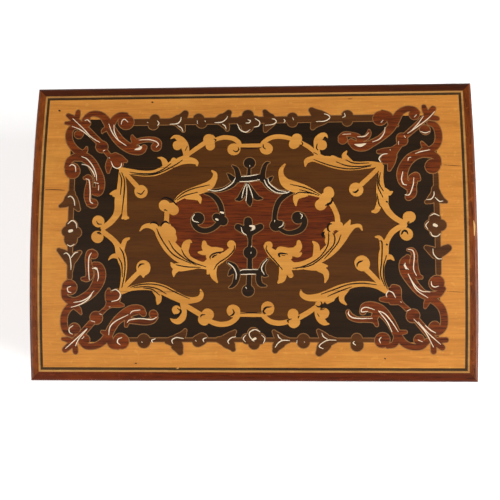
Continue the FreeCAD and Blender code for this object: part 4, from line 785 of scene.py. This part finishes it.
pale_lines = drawn("""
-61.9,39.2 -57.8,35.3 -55.1,32.4 -52,30.4
-62,36.4 -59.4,35.3 -57.3,33.9 -55.7,32.4
-57.6,38.5 -56.7,38.7 -55.8,37.8
-49.2,37.1 -48,34.2 -46,31.5 -42.8,29.1
-47.4,36.7 -47.1,34.2 -45.5,31
-44.9,36.9 -44.6,38.3 -43.7,38.7 -42.6,37.7
-39.8,27.6 -38.3,27.7 -37.6,28.4 -38.4,29.1
-38.5,31.1 -35.1,31.2 -32.6,30.5 -31.7,29.4 -32.4,28.5
-50.7,27.3 -50.1,27.6
-48.6,24.9 -48.3,24.7
-47.8,23.5 -46.9,21.7 -45.5,21.1 -44.4,21.7 -44.1,22.9
-58,25.4 -56,24.4 -54,21.9 -52.8,19.2 -52.5,16.9
-57.8,22.7 -55.5,21.9 -53.7,19.6 -53.2,18.2
-62.1,22.1 -61.2,22.6 -60.1,21.9 -59.8,20.1
-53.3,16.2 -51.9,15.8
-51.7,15.1 -51.8,13.5
-56.2,17.5 -55.1,16.9 -54.6,13.3 -54.5,9.8 -53.5,8.9
58.3,38.5 56.5,36 54.4,33.7
62.1,40.1 59.6,37.4 55.1,34 52.8,32.4
57.1,33 58.7,32.5 60.2,33
51.6,31.5 52,30.9
49.7,29.6 49.6,28.5
45.8,25.3 44.2,25 43,23.7 43.5,22.4
46.7,26.7 46.9,26.5
55.1,25.3 57.4,26 60,26.5
52.6,22.8 52.8,23.7 53.6,24
50.8,19 50.3,16.5 50.8,14.8 51.9,14.4
54.4,16.9 54,14.2 52.8,11.2 51.3,11.1
45.3,34.6 44.9,32.6 43.3,30.5 41,29.5
44.7,37.2 44,36.4
56,39 55.2,38.2
31,32.3 33.7,32.4
36,31.4 38.3,31.5 39.7,32.7
34.9,28.7 36.9,28.1 38.8,29
-62.6,-39.9 -59.2,-36.9 -55.1,-33.2
-59.2,-39 -57.9,-36.5 -55.2,-33.5
-59.9,-32.2 -61.2,-33.2 -61.1,-34.5 -60.1,-35.1
-60.6,-19.1 -61.7,-19.6 -61.5,-20.8 -60.5,-21.2
-59.6,-24.5 -56.9,-24 -54.6,-22.8 -52.7,-20.6
-60.5,-26.1 -57.8,-25.3 -55.1,-23.8 -53.5,-22
-53.3,-13.2 -52.1,-12.9 -51.4,-14.2 -51.2,-16 -51.5,-17.3
-53.7,-7.9 -54.5,-9.6 -54.6,-13.3 -54.3,-17
-46.7,-20.5 -45.1,-20.3 -43.8,-21.7 -44.4,-23.5 -46.7,-24.2
-47.6,-26 -47.2,-26
-50.8,-28.3 -50.2,-28.5
-53.8,-30.6 -52.5,-31
-56.9,-36.6 -56.2,-35.9
-47.8,-35.3 -47.4,-32.8 -45.5,-30.8 -41.2,-28.6
-43.4,-36.2 -44.6,-36.7 -44.9,-37.8 -44,-38.6
-40.5,-28.3 -39.6,-27.4 -37.1,-27
-41.5,-31.2 -40.5,-30.3 -36.9,-29.9 -33.3,-30.2 -31.5,-29.4
53.7,-30.1 57.4,-34.2 60.1,-39.2
55.1,-31 58.3,-34.6 62.4,-38.3
57.4,-32.1 59.2,-33.7 60.8,-34.6
51.9,-15.3 53.7,-18.5 56,-20.8 59,-21.2
52.4,-16.4 54.6,-20.5 58.3,-23.1
59.4,-17.8 59.6,-19 60.5,-19.6 61.8,-19.3
51,-11.7 50.8,-12.8 52.1,-13.8
51.9,-7.1 53.5,-7.6 54,-9.6 53.7,-13.5 54.6,-15.8
51.5,-27.4 52.6,-26.9
45.5,-20.8 44.7,-21.9 44.9,-22.8
45.6,-20.8 46.9,-21.5 47.7,-23
49.4,-24.4 49.7,-24.6
42.1,-27.4 44.2,-28.3 46.5,-31 48.6,-34.2
42.4,-27.7 45,-31 46.5,-34.2
43,-36 42.4,-36.9 42.8,-37.9
40.8,-27 38.3,-26.2 36.8,-26.6 36.6,-27.7 38.6,-27.5
40.1,-29.8 36.5,-29.9 33.7,-29.6 32.3,-28.5 32.4,-27.4
55.1,-36.9 56.5,-37.5
-35.9,37.5 -35.6,37.4
-32.4,38 -31.8,37.2 -32.2,36.3
-28,36.7 -25.5,36.9 -24.4,38 -24.2,39.2
-25.3,36.2 -24,35.3 -23.4,34
-18.6,37.9 -18.5,36.8
-15.9,37.8 -15.8,37.4
-12.6,37.1 -10.3,37.2 -8.7,38.3 -8.2,39.3
-9.9,36.5 -9,35.8 -8.6,34.7
-1.9,36.8 -.8,36.9 -.3,37.6 -1.2,38
-4.8,36.5 -3.8,34.4 -1.9,33.5 -.4,34.4
1.3,38.4 2.8,37.2 2.5,35.7 1,35.3
4.7,35.9 7.4,36.2 8.5,37.1 8,38 7.1,38.2
11.1,38 11.5,37.4 11.1,36.8
14.1,38.5 14.4,37.8
22.1,37 25.1,37.2 26.7,38.3 26.2,39.3 24.9,39.8
31.7,39.9 31.9,38.8 31,38.4
-36.7,-37.6 -36.5,-37.8
-32.1,-36.6 -33.3,-37.1 -33,-37.8
-22.6,-36.5 -25.1,-36.2 -26.5,-37.1 -26.2,-38.2
-18.6,-37.1 -18.3,-37.4
-14.9,-36.2 -16,-36.7 -15.8,-37.6
-5.1,-35.9 -6.5,-36.2 -7.7,-37.3 -7.4,-38.2
1,-37.4 -.3,-36 -.5,-34.5 1.3,-33.5 3,-34.2
.8,-36.7 1.7,-36.4
-1.7,-35.3 -2.6,-36.5 -1.9,-37.6
3.5,-35.3 4.6,-36.5 4.1,-38
12.8,-37.1 10.5,-37.1 9,-38 8,-39.4
10.3,-36.9 9.2,-36 8.9,-35.1
15.3,-37.1 15.2,-37.9
17.6,-37.5 17.8,-37.7
28.2,-37 25.5,-37 23.5,-38 22.6,-39.1 23.9,-39.8
25.3,-36.7 24,-35.8 23.5,-34.7
34.2,-37.4 33.8,-37.9 34.6,-38.6
-62.1,11.2 -61.2,11.5 -60.1,10.3 -59.7,8.3
-61.9,2 -60.5,3.1 -59.2,2.3 -58.8,.6
-61.5,-.3 -60.8,-.6 -60.3,-.2
-61.9,-5.1 -60.8,-5.6 -59.6,-5
-63,-8.2 -62.1,-7.9 -61,-9.2 -60.6,-11.9 -60.6,-13.5
-60.5,-9.4 -59.4,-8 -58.3,-7.6
58.4,9.4 59.9,9.6 60.8,10.8 60.9,12.1
61.2,10.1 62.6,8.8 63.7,8.9
59.4,3.9 60.8,4.6 62.4,3.9
58.9,2.1 57.9,.8 58.6,-.5
59.4,-1.5 60.1,-2.7 61.5,-2.9 62.6,-2.1
60.6,1 61.4,.7
60.1,-7.1 60.3,-8.7 61.5,-10.2 63,-10.4
-.4,21.7 -.4,21.3
-3.2,17.8 -.5,18 2.4,18.5
-3.8,16.1 -.5,16.1 2.9,16.7
-1.6,15.3 -2.5,12.9 -3,10.4
-1.3,15.2 -1.4,12 -1.6,9.4
-.9,15.1 0,12.9 .7,10.5
-5.2,17.4 -6.4,15.4 -9.1,13.6 -11.8,12.9 -14.5,13.4
4.5,16.6 5.5,14.5 7.7,12.6 10,11.9 12.3,12.2 13.2,12.8
5.7,17 6.4,15.2 9.1,13.1 11.8,12.5
-10.2,5.7 -9.3,5.3
-11.7,3.5 -11,2.9
-18.9,4.9 -19.6,3.8 -19.2,2.7 -17.5,2.2
8,2.8 8,2.3
10.9,2 10.6,1 9.4,.3
16.4,5.1 17.2,4.3 16.8,3.3
-.2,1.1 1.1,.9 1.3,0 0,-.7
-3.2,.4 -2.7,-1.2 -1.4,-2.2
.2,-5.8 .2,-6.2
.1,-7.9 .1,-8.3
-3.6,-14.1 -2.3,-13.7 2.3,-13.7
-3.3,-15.3 0,-15.2 1.6,-15.2
-7.5,-11.5 -5.9,-12.8 -4.9,-14.8 -4.9,-16.9
5.5,-10.3 4.2,-11.8 3.6,-13.5 4.5,-15.3
-1.7,-19.5 -1.4,-19.9""")
dark_lines = drawn("""
-41.2,19.7 -37.8,19.2 -33.3,19.2 -30.1,20.4 -27.2,22.6
-40.5,19 -35.1,18.6 -31,19.4 -26,21.9 -23.3,23.8
-21.8,28.6 -22.4,27.2
-12.7,31.2 -12,30.8 -12.4,30.3
-6,27 -5.1,26.5 -4.2,27.2 -4.4,28
-3.5,27.9 0,27.8 3.4,27.9
-44.7,19.4 -43.9,16.9 -44.2,11.9
-44,19.6 -42.9,16.5 -43,11.5 -43.5,5.5
-38.5,12.5 -37.1,12 -36,13.3
-52.1,2.8 -51.5,1.9 -50.4,1.8
-25.7,9.8 -23.2,12 -20,13.6 -14,15
-24.8,9.9 -22.3,11.4 -18,12.5
-28.2,6.2 -28.8,6.7
-33.5,2.1 -32.3,2.4 -31,1.4
-30,1.8 -28.8,2.7 -27.4,1.9
-30.2,10.3 -28.6,10.7 -26.6,9.8 -24.9,8
-31.6,.2 -30.6,-2.1 -28.4,-5.7 -25.5,-8.9 -20,-11.6
-27.5,-3.9 -25.5,-7.1 -22.3,-9.8 -18.2,-12.2
-23.2,-6.8 -21.9,-9.2 -19.1,-11.3 -15,-12.7
-25,-12 -21.4,-12.7 -16.8,-12.9
-13.6,-9.8 -13.2,-8.9 -11.8,-8.2 -9.8,-7.8
-12.7,-9.4 -11.5,-8.9
-5.4,-5.7 -5.7,-7.3 -7.7,-9.4 -10.9,-11.6 -12.3,-13.7
23.2,11.2 20.5,12.8 17.3,14 13.2,15
22.6,11.1 19.5,12.2 16.4,13.1
21.4,11.6 16.6,12.2 14.7,11.4
27.1,10.2 26.8,8.9 25,7.8
27,1.4 25.9,1.1 25.7,.2
24.5,-1.4 24.2,-2.1 24.7,-2.7
25.9,-1.4 25.9,-3.9 25.2,-6.6 22.7,-9.8 19.1,-12 15,-13.4
27.3,-1.6 28,-3.5 26.8,-6.6 20.5,-12.1 14,-13.3
30,-2.3 28.6,-5.4 24.5,-10.2
12,-8.5 9.8,-8.2 9.2,-9.1
11.4,-9.1 10.4,-8.9
5.4,-5.7 5.2,-7.1 6.6,-9.2 8.6,-11.4 10.5,-13.7
21.2,23.5 25.1,21.9 29.6,20.6 34.6,20.1 40.1,21
28.7,22.6 32.4,21.2 36.9,20.9 40.4,21.4
31.9,23.3 34.6,22.1 39.6,22.1
22.4,29 22.1,27.6 22.6,26.8
21.2,26 22.4,25.3
16.9,28.5 17.5,29.1 17.1,29.8
4.1,29 4.2,28 4.9,27.4
43.3,18.7 42.8,15.1 44.2,12.4
42.6,18.3 42.4,14.2 44,10.3
42.1,11.5 42.6,8.3 43.3,6.9
45.2,9 45.4,8.5
34.1,12.2 35.1,12 36,12.8
52.2,2 52.6,1.9
-40.3,-19.5 -37.8,-18.7 -33.3,-18.4 -29.2,-19.2 -25.1,-21.2 -20.5,-23.3
-39.2,-19.5 -34.6,-19.3 -31,-20.1 -28.3,-21.7
-36,-19.7 -33,-20.2 -30.5,-22.1
-44,-6.2 -42.8,-8.3 -42.2,-11.9 -42.5,-16 -43.3,-19.6
-44.4,-9.6 -43.3,-11.9 -43.1,-16
-37.6,-12.7 -36.9,-11.9 -35.8,-11.7
-24.6,-26.4 -23.5,-27.4 -24.2,-28.4 -25.4,-28.5
-16.7,-29.4 -16.5,-28.7 -15.3,-28.6
-6,-26.9 -5.6,-28 -6.8,-29
-3.5,-28.1 0,-28 3.5,-28.1
-51.7,-1.2 -50.8,-1.6
41.5,-18.8 36.9,-18.3 32.4,-18.7 28.3,-20.1 23.3,-21.9
33.3,-19.5 29.2,-21 25.5,-22.6
42.5,-4.3 43.5,-5 43.3,-11 42.9,-15.5 44.2,-19.2
44.9,-9.2 43.9,-12.8 44,-16.9 45.1,-20.2
45,-5.3 45.1,-5.7
35.2,-12.4 35.8,-11.5 37.1,-10.9
50,-2.1 50.8,-1.1 51.9,-1.7
21.9,-25.8 22.8,-26 23.4,-25.1
24.4,-26.7 23.3,-27
22.1,-28.3 22.6,-29.2
12.3,-31 12.5,-30.3 13.5,-30
6.8,-26 4.9,-26.2 4.2,-27.4 4.9,-28.3""")

pale_cut = 0.16
dark_cut = 0.21
cut_taper = 0.6

# Short touches and bold cuts, broader than the lines, carry their own half widths.
pale_touches = drawn("""
-39.6,27.7,.2 -38.2,28,.5 -37.6,28.5,.35
35.2,28.6,.2 36.8,28.3,.55 38.4,28.8,.25
-61.2,-.5,.5 -60.5,-.3,.45
60.7,.9,.5 61.4,.6,.45
.5,-36.9,.3 1.4,-36.5,.4
-.3,.9,.2 1,.6,.45 .6,-.3,.3
50.8,-12.4,.3 51.3,-13.4,.35
-52.6,-13,.25 -51.9,-13.2,.35
-11.6,3.3,.3 -11.1,3,.3
-10.1,5.6,.25 -9.3,5.4,.35""")
bold_cuts = drawn("""
-13.5,-10.1,.12 -13.6,-9.4,.2 -12.8,-8.5,.22 -11.5,-8,.18 -10.2,-7.8,.16 -8.9,-7.7,.1
-12.8,-9.7,.15 -12.5,-9.3,.34 -12,-8.9,.18 -11.3,-8.7,.1
9.2,-8.9,.15 9.5,-8.5,.3 10.6,-8.4,.2 12.3,-8.6,.1
9.3,-8.7,.2 9.6,-9.3,.26
27.2,10.1,.15 27.1,9.1,.3 26.4,8.2,.3 25,7.6,.12
27,1.5,.12 26.2,1.4,.26 25.7,.5,.3 25.7,-.6,.3 26.4,-1.2,.12
24.6,-1.2,.12 24,-1.6,.28 23.8,-2.4,.3 24.2,-3,.12
34,12.2,.12 34.8,12.1,.28 35.5,12.5,.28 35.9,13.2,.12
35.2,-12.8,.12 35.3,-12,.26 36,-11.2,.22 37,-10.9,.12
-29.8,10.5,.15 -28.7,10.8,.28 -27.1,10.2,.28 -25.9,9.2,.28 -24.9,8,.12
-33.8,1.9,.12 -32.8,2.4,.26 -31.7,2,.22 -30.8,.9,.12
-30.1,1.1,.15 -29.6,2,.26 -28.7,2.5,.28 -27.9,2.2,.24 -27.3,1.7,.12
-37.7,-12.9,.12 -37.2,-12,.26 -36.5,-11.7,.24 -35.7,-11.7,.12
-26.4,-29,.12 -25,-28.8,.24 -23.7,-28.3,.26 -23.3,-27.5,.26 -23.6,-26.7,.12
-16.8,-29.3,.12 -16.4,-28.7,.25 -15.3,-28.6,.12
-7.2,-29.1,.12 -6.1,-28.7,.24 -5.6,-27.9,.28 -5.9,-27,.12
4.5,-28.4,.12 4.1,-27.4,.28 5.1,-26.3,.26 6.8,-26,.12
21.6,-25.6,.12 22.4,-26,.26 23.3,-25.8,.26 23.5,-25,.24 23.2,-24.3,.12
12.5,-31.2,.12 12.2,-30.6,.28 13.2,-30,.12
15.7,-29.8,.12 15.8,-29.3,.22 16.2,-29,.1
49.8,-2.3,.12 50.3,-1.3,.25 51,-.9,.28 51.7,-1.3,.28 52,-2.2,.12
-51.8,-1.1,.12 -51.1,-1,.24 -50.4,-1.6,.12
45.2,8.8,.25 45.4,8.7,.25
45,-5.6,.25 45.2,-5.6,.25
52.1,1.8,.2 52.4,1.9,.2
-29,6.5,.22 -28.7,6.5,.22""")


def engraved(points, half_width):
    """A cut that swells from a fine start and closes again at its end."""
    ends = (0, len(points) - 1)
    return ribbon([(x, y, half_width * (cut_taper if i in ends else 1)) for i, (x, y) in enumerate(points)])


pale_mastic = timber("pale_mastic", (240, 222, 196), (214, 190, 156), pores=0.1, lacquer=0.4)
black_mastic = timber("black_mastic", (22, 14, 9), (12, 7, 5), pores=0.1, lacquer=0.4)
pale_cuts = [engraved(s, pale_cut) for s in pale_lines] + [ribbon(s) for s in pale_touches]
dark_cuts = [engraved(s, dark_cut) for s in dark_lines] + [ribbon(s) for s in bold_cuts]
lay_veneer("pale_engraving", pale_cuts, lift=0.12, material=pale_mastic)
lay_veneer("dark_engraving", dark_cuts, lift=0.12, material=black_mastic)

# The age marks: hairline cracks where the staves have shrunk apart, small knots, a chipped nick and a painted
# highlight.
# The cracks and knots show dark in the veneer, the nick shows the bare wood below the lacquer, and a pale
# streak of the same colour is a painted highlight on the right lipping's rounded edge.

shrinkage_cracks = drawn("""
-42,21.3,.04 -20,21.1,.07 4,21.2,.05 17,21.3,.03
-46,-20.9,.03 -30,-21,.06 -8,-20.8,.07 14,-20.7,.06 34,-20.8,.03
-70,13.9,.06 -66,13.8,.09 -63.4,13.6,.05
64.5,21.2,.03 67,21,.05 70,20.8,.03
64.5,-21,.03 67.5,-21.2,.05 70,-21.3,.03""")
# The first stroke is a painted highlight along the right lipping's rounded edge; the second is a nick in the
# front string.
nick_and_edge_highlight = drawn("""
73.6,2.2,.12 73.8,.4,.26 73.7,-2.6,.14
-25,-46.5,.1 -24.5,-46.3,.14""")
small_knots = drawn("""
-66.9,42.3,.28 -66.7,42.2,.28
-34.5,45,.25 -34.3,44.9,.25
-38.9,-44.8,.2 -38.7,-44.8,.2
44.2,-43,.2 44.4,-43.1,.2
33.2,45.2,.1 34.3,45.2,.1""")
crack_tone = timber("crack_shadow", (74, 42, 20), (40, 22, 10), pores=0.2, lacquer=0.2)
mark_outlines = [ribbon(s) for s in shrinkage_cracks + small_knots]
lay_veneer("age_marks", mark_outlines, lift=0.115, material=crack_tone)
# The bare wood's pale colour also serves as the painted highlight on the right lipping's edge.
bare_wood_and_highlight = timber("bare_wood_and_highlight", (236, 190, 112), (206, 152, 76), "y", pores=0.2, lacquer=0.05)
nick_and_highlight_outlines = [ribbon(s) for s in nick_and_edge_highlight]
lay_veneer("nick_and_edge_highlight", nick_and_highlight_outlines, lift=0.02, material=bare_wood_and_highlight)

# The studio: a pale floor, two soft lamps and pale walls under a dark ceiling.
# The floor shows white to the camera, to gloss and through glass, and keeps the box's shadow.
# The camera looks down on the lid, a little from the front.

floor_mesh = bpy.data.meshes.new("studio_floor")
floor_reach = 12.0
floor_level = -0.0002
floor_corners = [(x * floor_reach, y * floor_reach, floor_level) for x, y in corner_signs]
floor_mesh.from_pydata(floor_corners, [], [(0, 1, 2, 3)])
floor = bpy.data.objects.new("studio_floor", floor_mesh)
bpy.context.scene.collection.objects.link(floor)
floor_paper = bpy.data.materials.new("floor_paper")
floor_paper.use_nodes = True
paper = floor_paper.node_tree
paper_shader = paper.nodes["Principled BSDF"]
paper_shader.inputs["Base Color"].default_value = (0.82, 0.82, 0.82, 1)
paper_shader.inputs["Roughness"].default_value = 0.9
paper_place = add(paper, "ShaderNodeTexCoord")
paper_reach = add(paper, "ShaderNodeVectorMath", operation="LENGTH", links={0: paper_place.outputs["Object"]})
paper_level = ranged(paper, paper_reach.outputs["Value"], (0.3, 1.6), onto=(0.5, 0.85))
paper_glow = add(paper, "ShaderNodeEmission", links={"Strength": paper_level})
paper_sight = add(paper, "ShaderNodeLightPath")
seen = add(paper, "ShaderNodeMath", operation="MAXIMUM",
           links={0: paper_sight.outputs["Is Camera Ray"], 1: paper_sight.outputs["Is Glossy Ray"]})
seen_all = add(paper, "ShaderNodeMath", operation="MAXIMUM",
               links={0: seen.outputs[0], 1: paper_sight.outputs["Is Transmission Ray"]})
paper_off = add(paper, "ShaderNodeEmission", values={"Strength": 0.0})
paper_mix = add(paper, "ShaderNodeMixShader", links={0: seen_all.outputs[0], 1: paper_off.outputs[0],
                                                     2: paper_glow.outputs[0]})
paper_sum = add(paper, "ShaderNodeAddShader", links={0: paper_shader.outputs[0], 1: paper_mix.outputs[0]})
feed(paper, paper.nodes["Material Output"], {"Surface": paper_sum.outputs[0]})
floor_mesh.materials.append(floor_paper)

scene = bpy.context.scene
scene.view_settings.view_transform = "Standard"
sky = bpy.data.worlds.new("studio_sky")
sky.use_nodes = True
air = sky.node_tree
sky_way = add(air, "ShaderNodeTexCoord")
sky_height = add(air, "ShaderNodeSeparateXYZ", links={0: sky_way.outputs["Generated"]})
sky_level = ranged(air, sky_height.outputs["Z"], (0.18, 0.55), onto=(1.0, 0.02))
air.nodes["Background"].inputs["Color"].default_value = (1, 1, 1, 1)
feed(air, air.nodes["Background"], {"Strength": sky_level})
scene.world = sky
lamp_aim = Vector((0, 0, 0.05))


def soft_lamp(name, place, size, power):
    """A square soft box turned towards the lid."""
    lamp = bpy.data.lights.new(name, "AREA")
    lamp.size = size
    lamp.energy = power
    stand = bpy.data.objects.new(name, lamp)
    stand.location = place
    stand.rotation_euler = (lamp_aim - Vector(place)).to_track_quat("-Z", "Y").to_euler()
    scene.collection.objects.link(stand)


soft_lamp("right_lamp", place=(0.8, -0.14, 0.6), size=0.5, power=12.8)
soft_lamp("left_lamp", place=(-0.75, -0.14, 0.65), size=0.5, power=4.4)

camera = bpy.data.cameras.new("camera")
camera.lens = 64.8
camera.sensor_width = 36.0
eye = bpy.data.objects.new("camera", camera)
eye_place = (0.0165, -0.0398, 0.3615)
roll, pan, pitch = math.radians(0.26), math.radians(-3.2), math.radians(-6.26)
tilt = Matrix.Rotation(roll, 3, "Z") @ Matrix.Rotation(pan, 3, "Y") @ Matrix.Rotation(pitch, 3, "X")
eye.matrix_world = Matrix.Translation(eye_place) @ tilt.transposed().to_4x4()
scene.collection.objects.link(eye)
scene.camera = eye
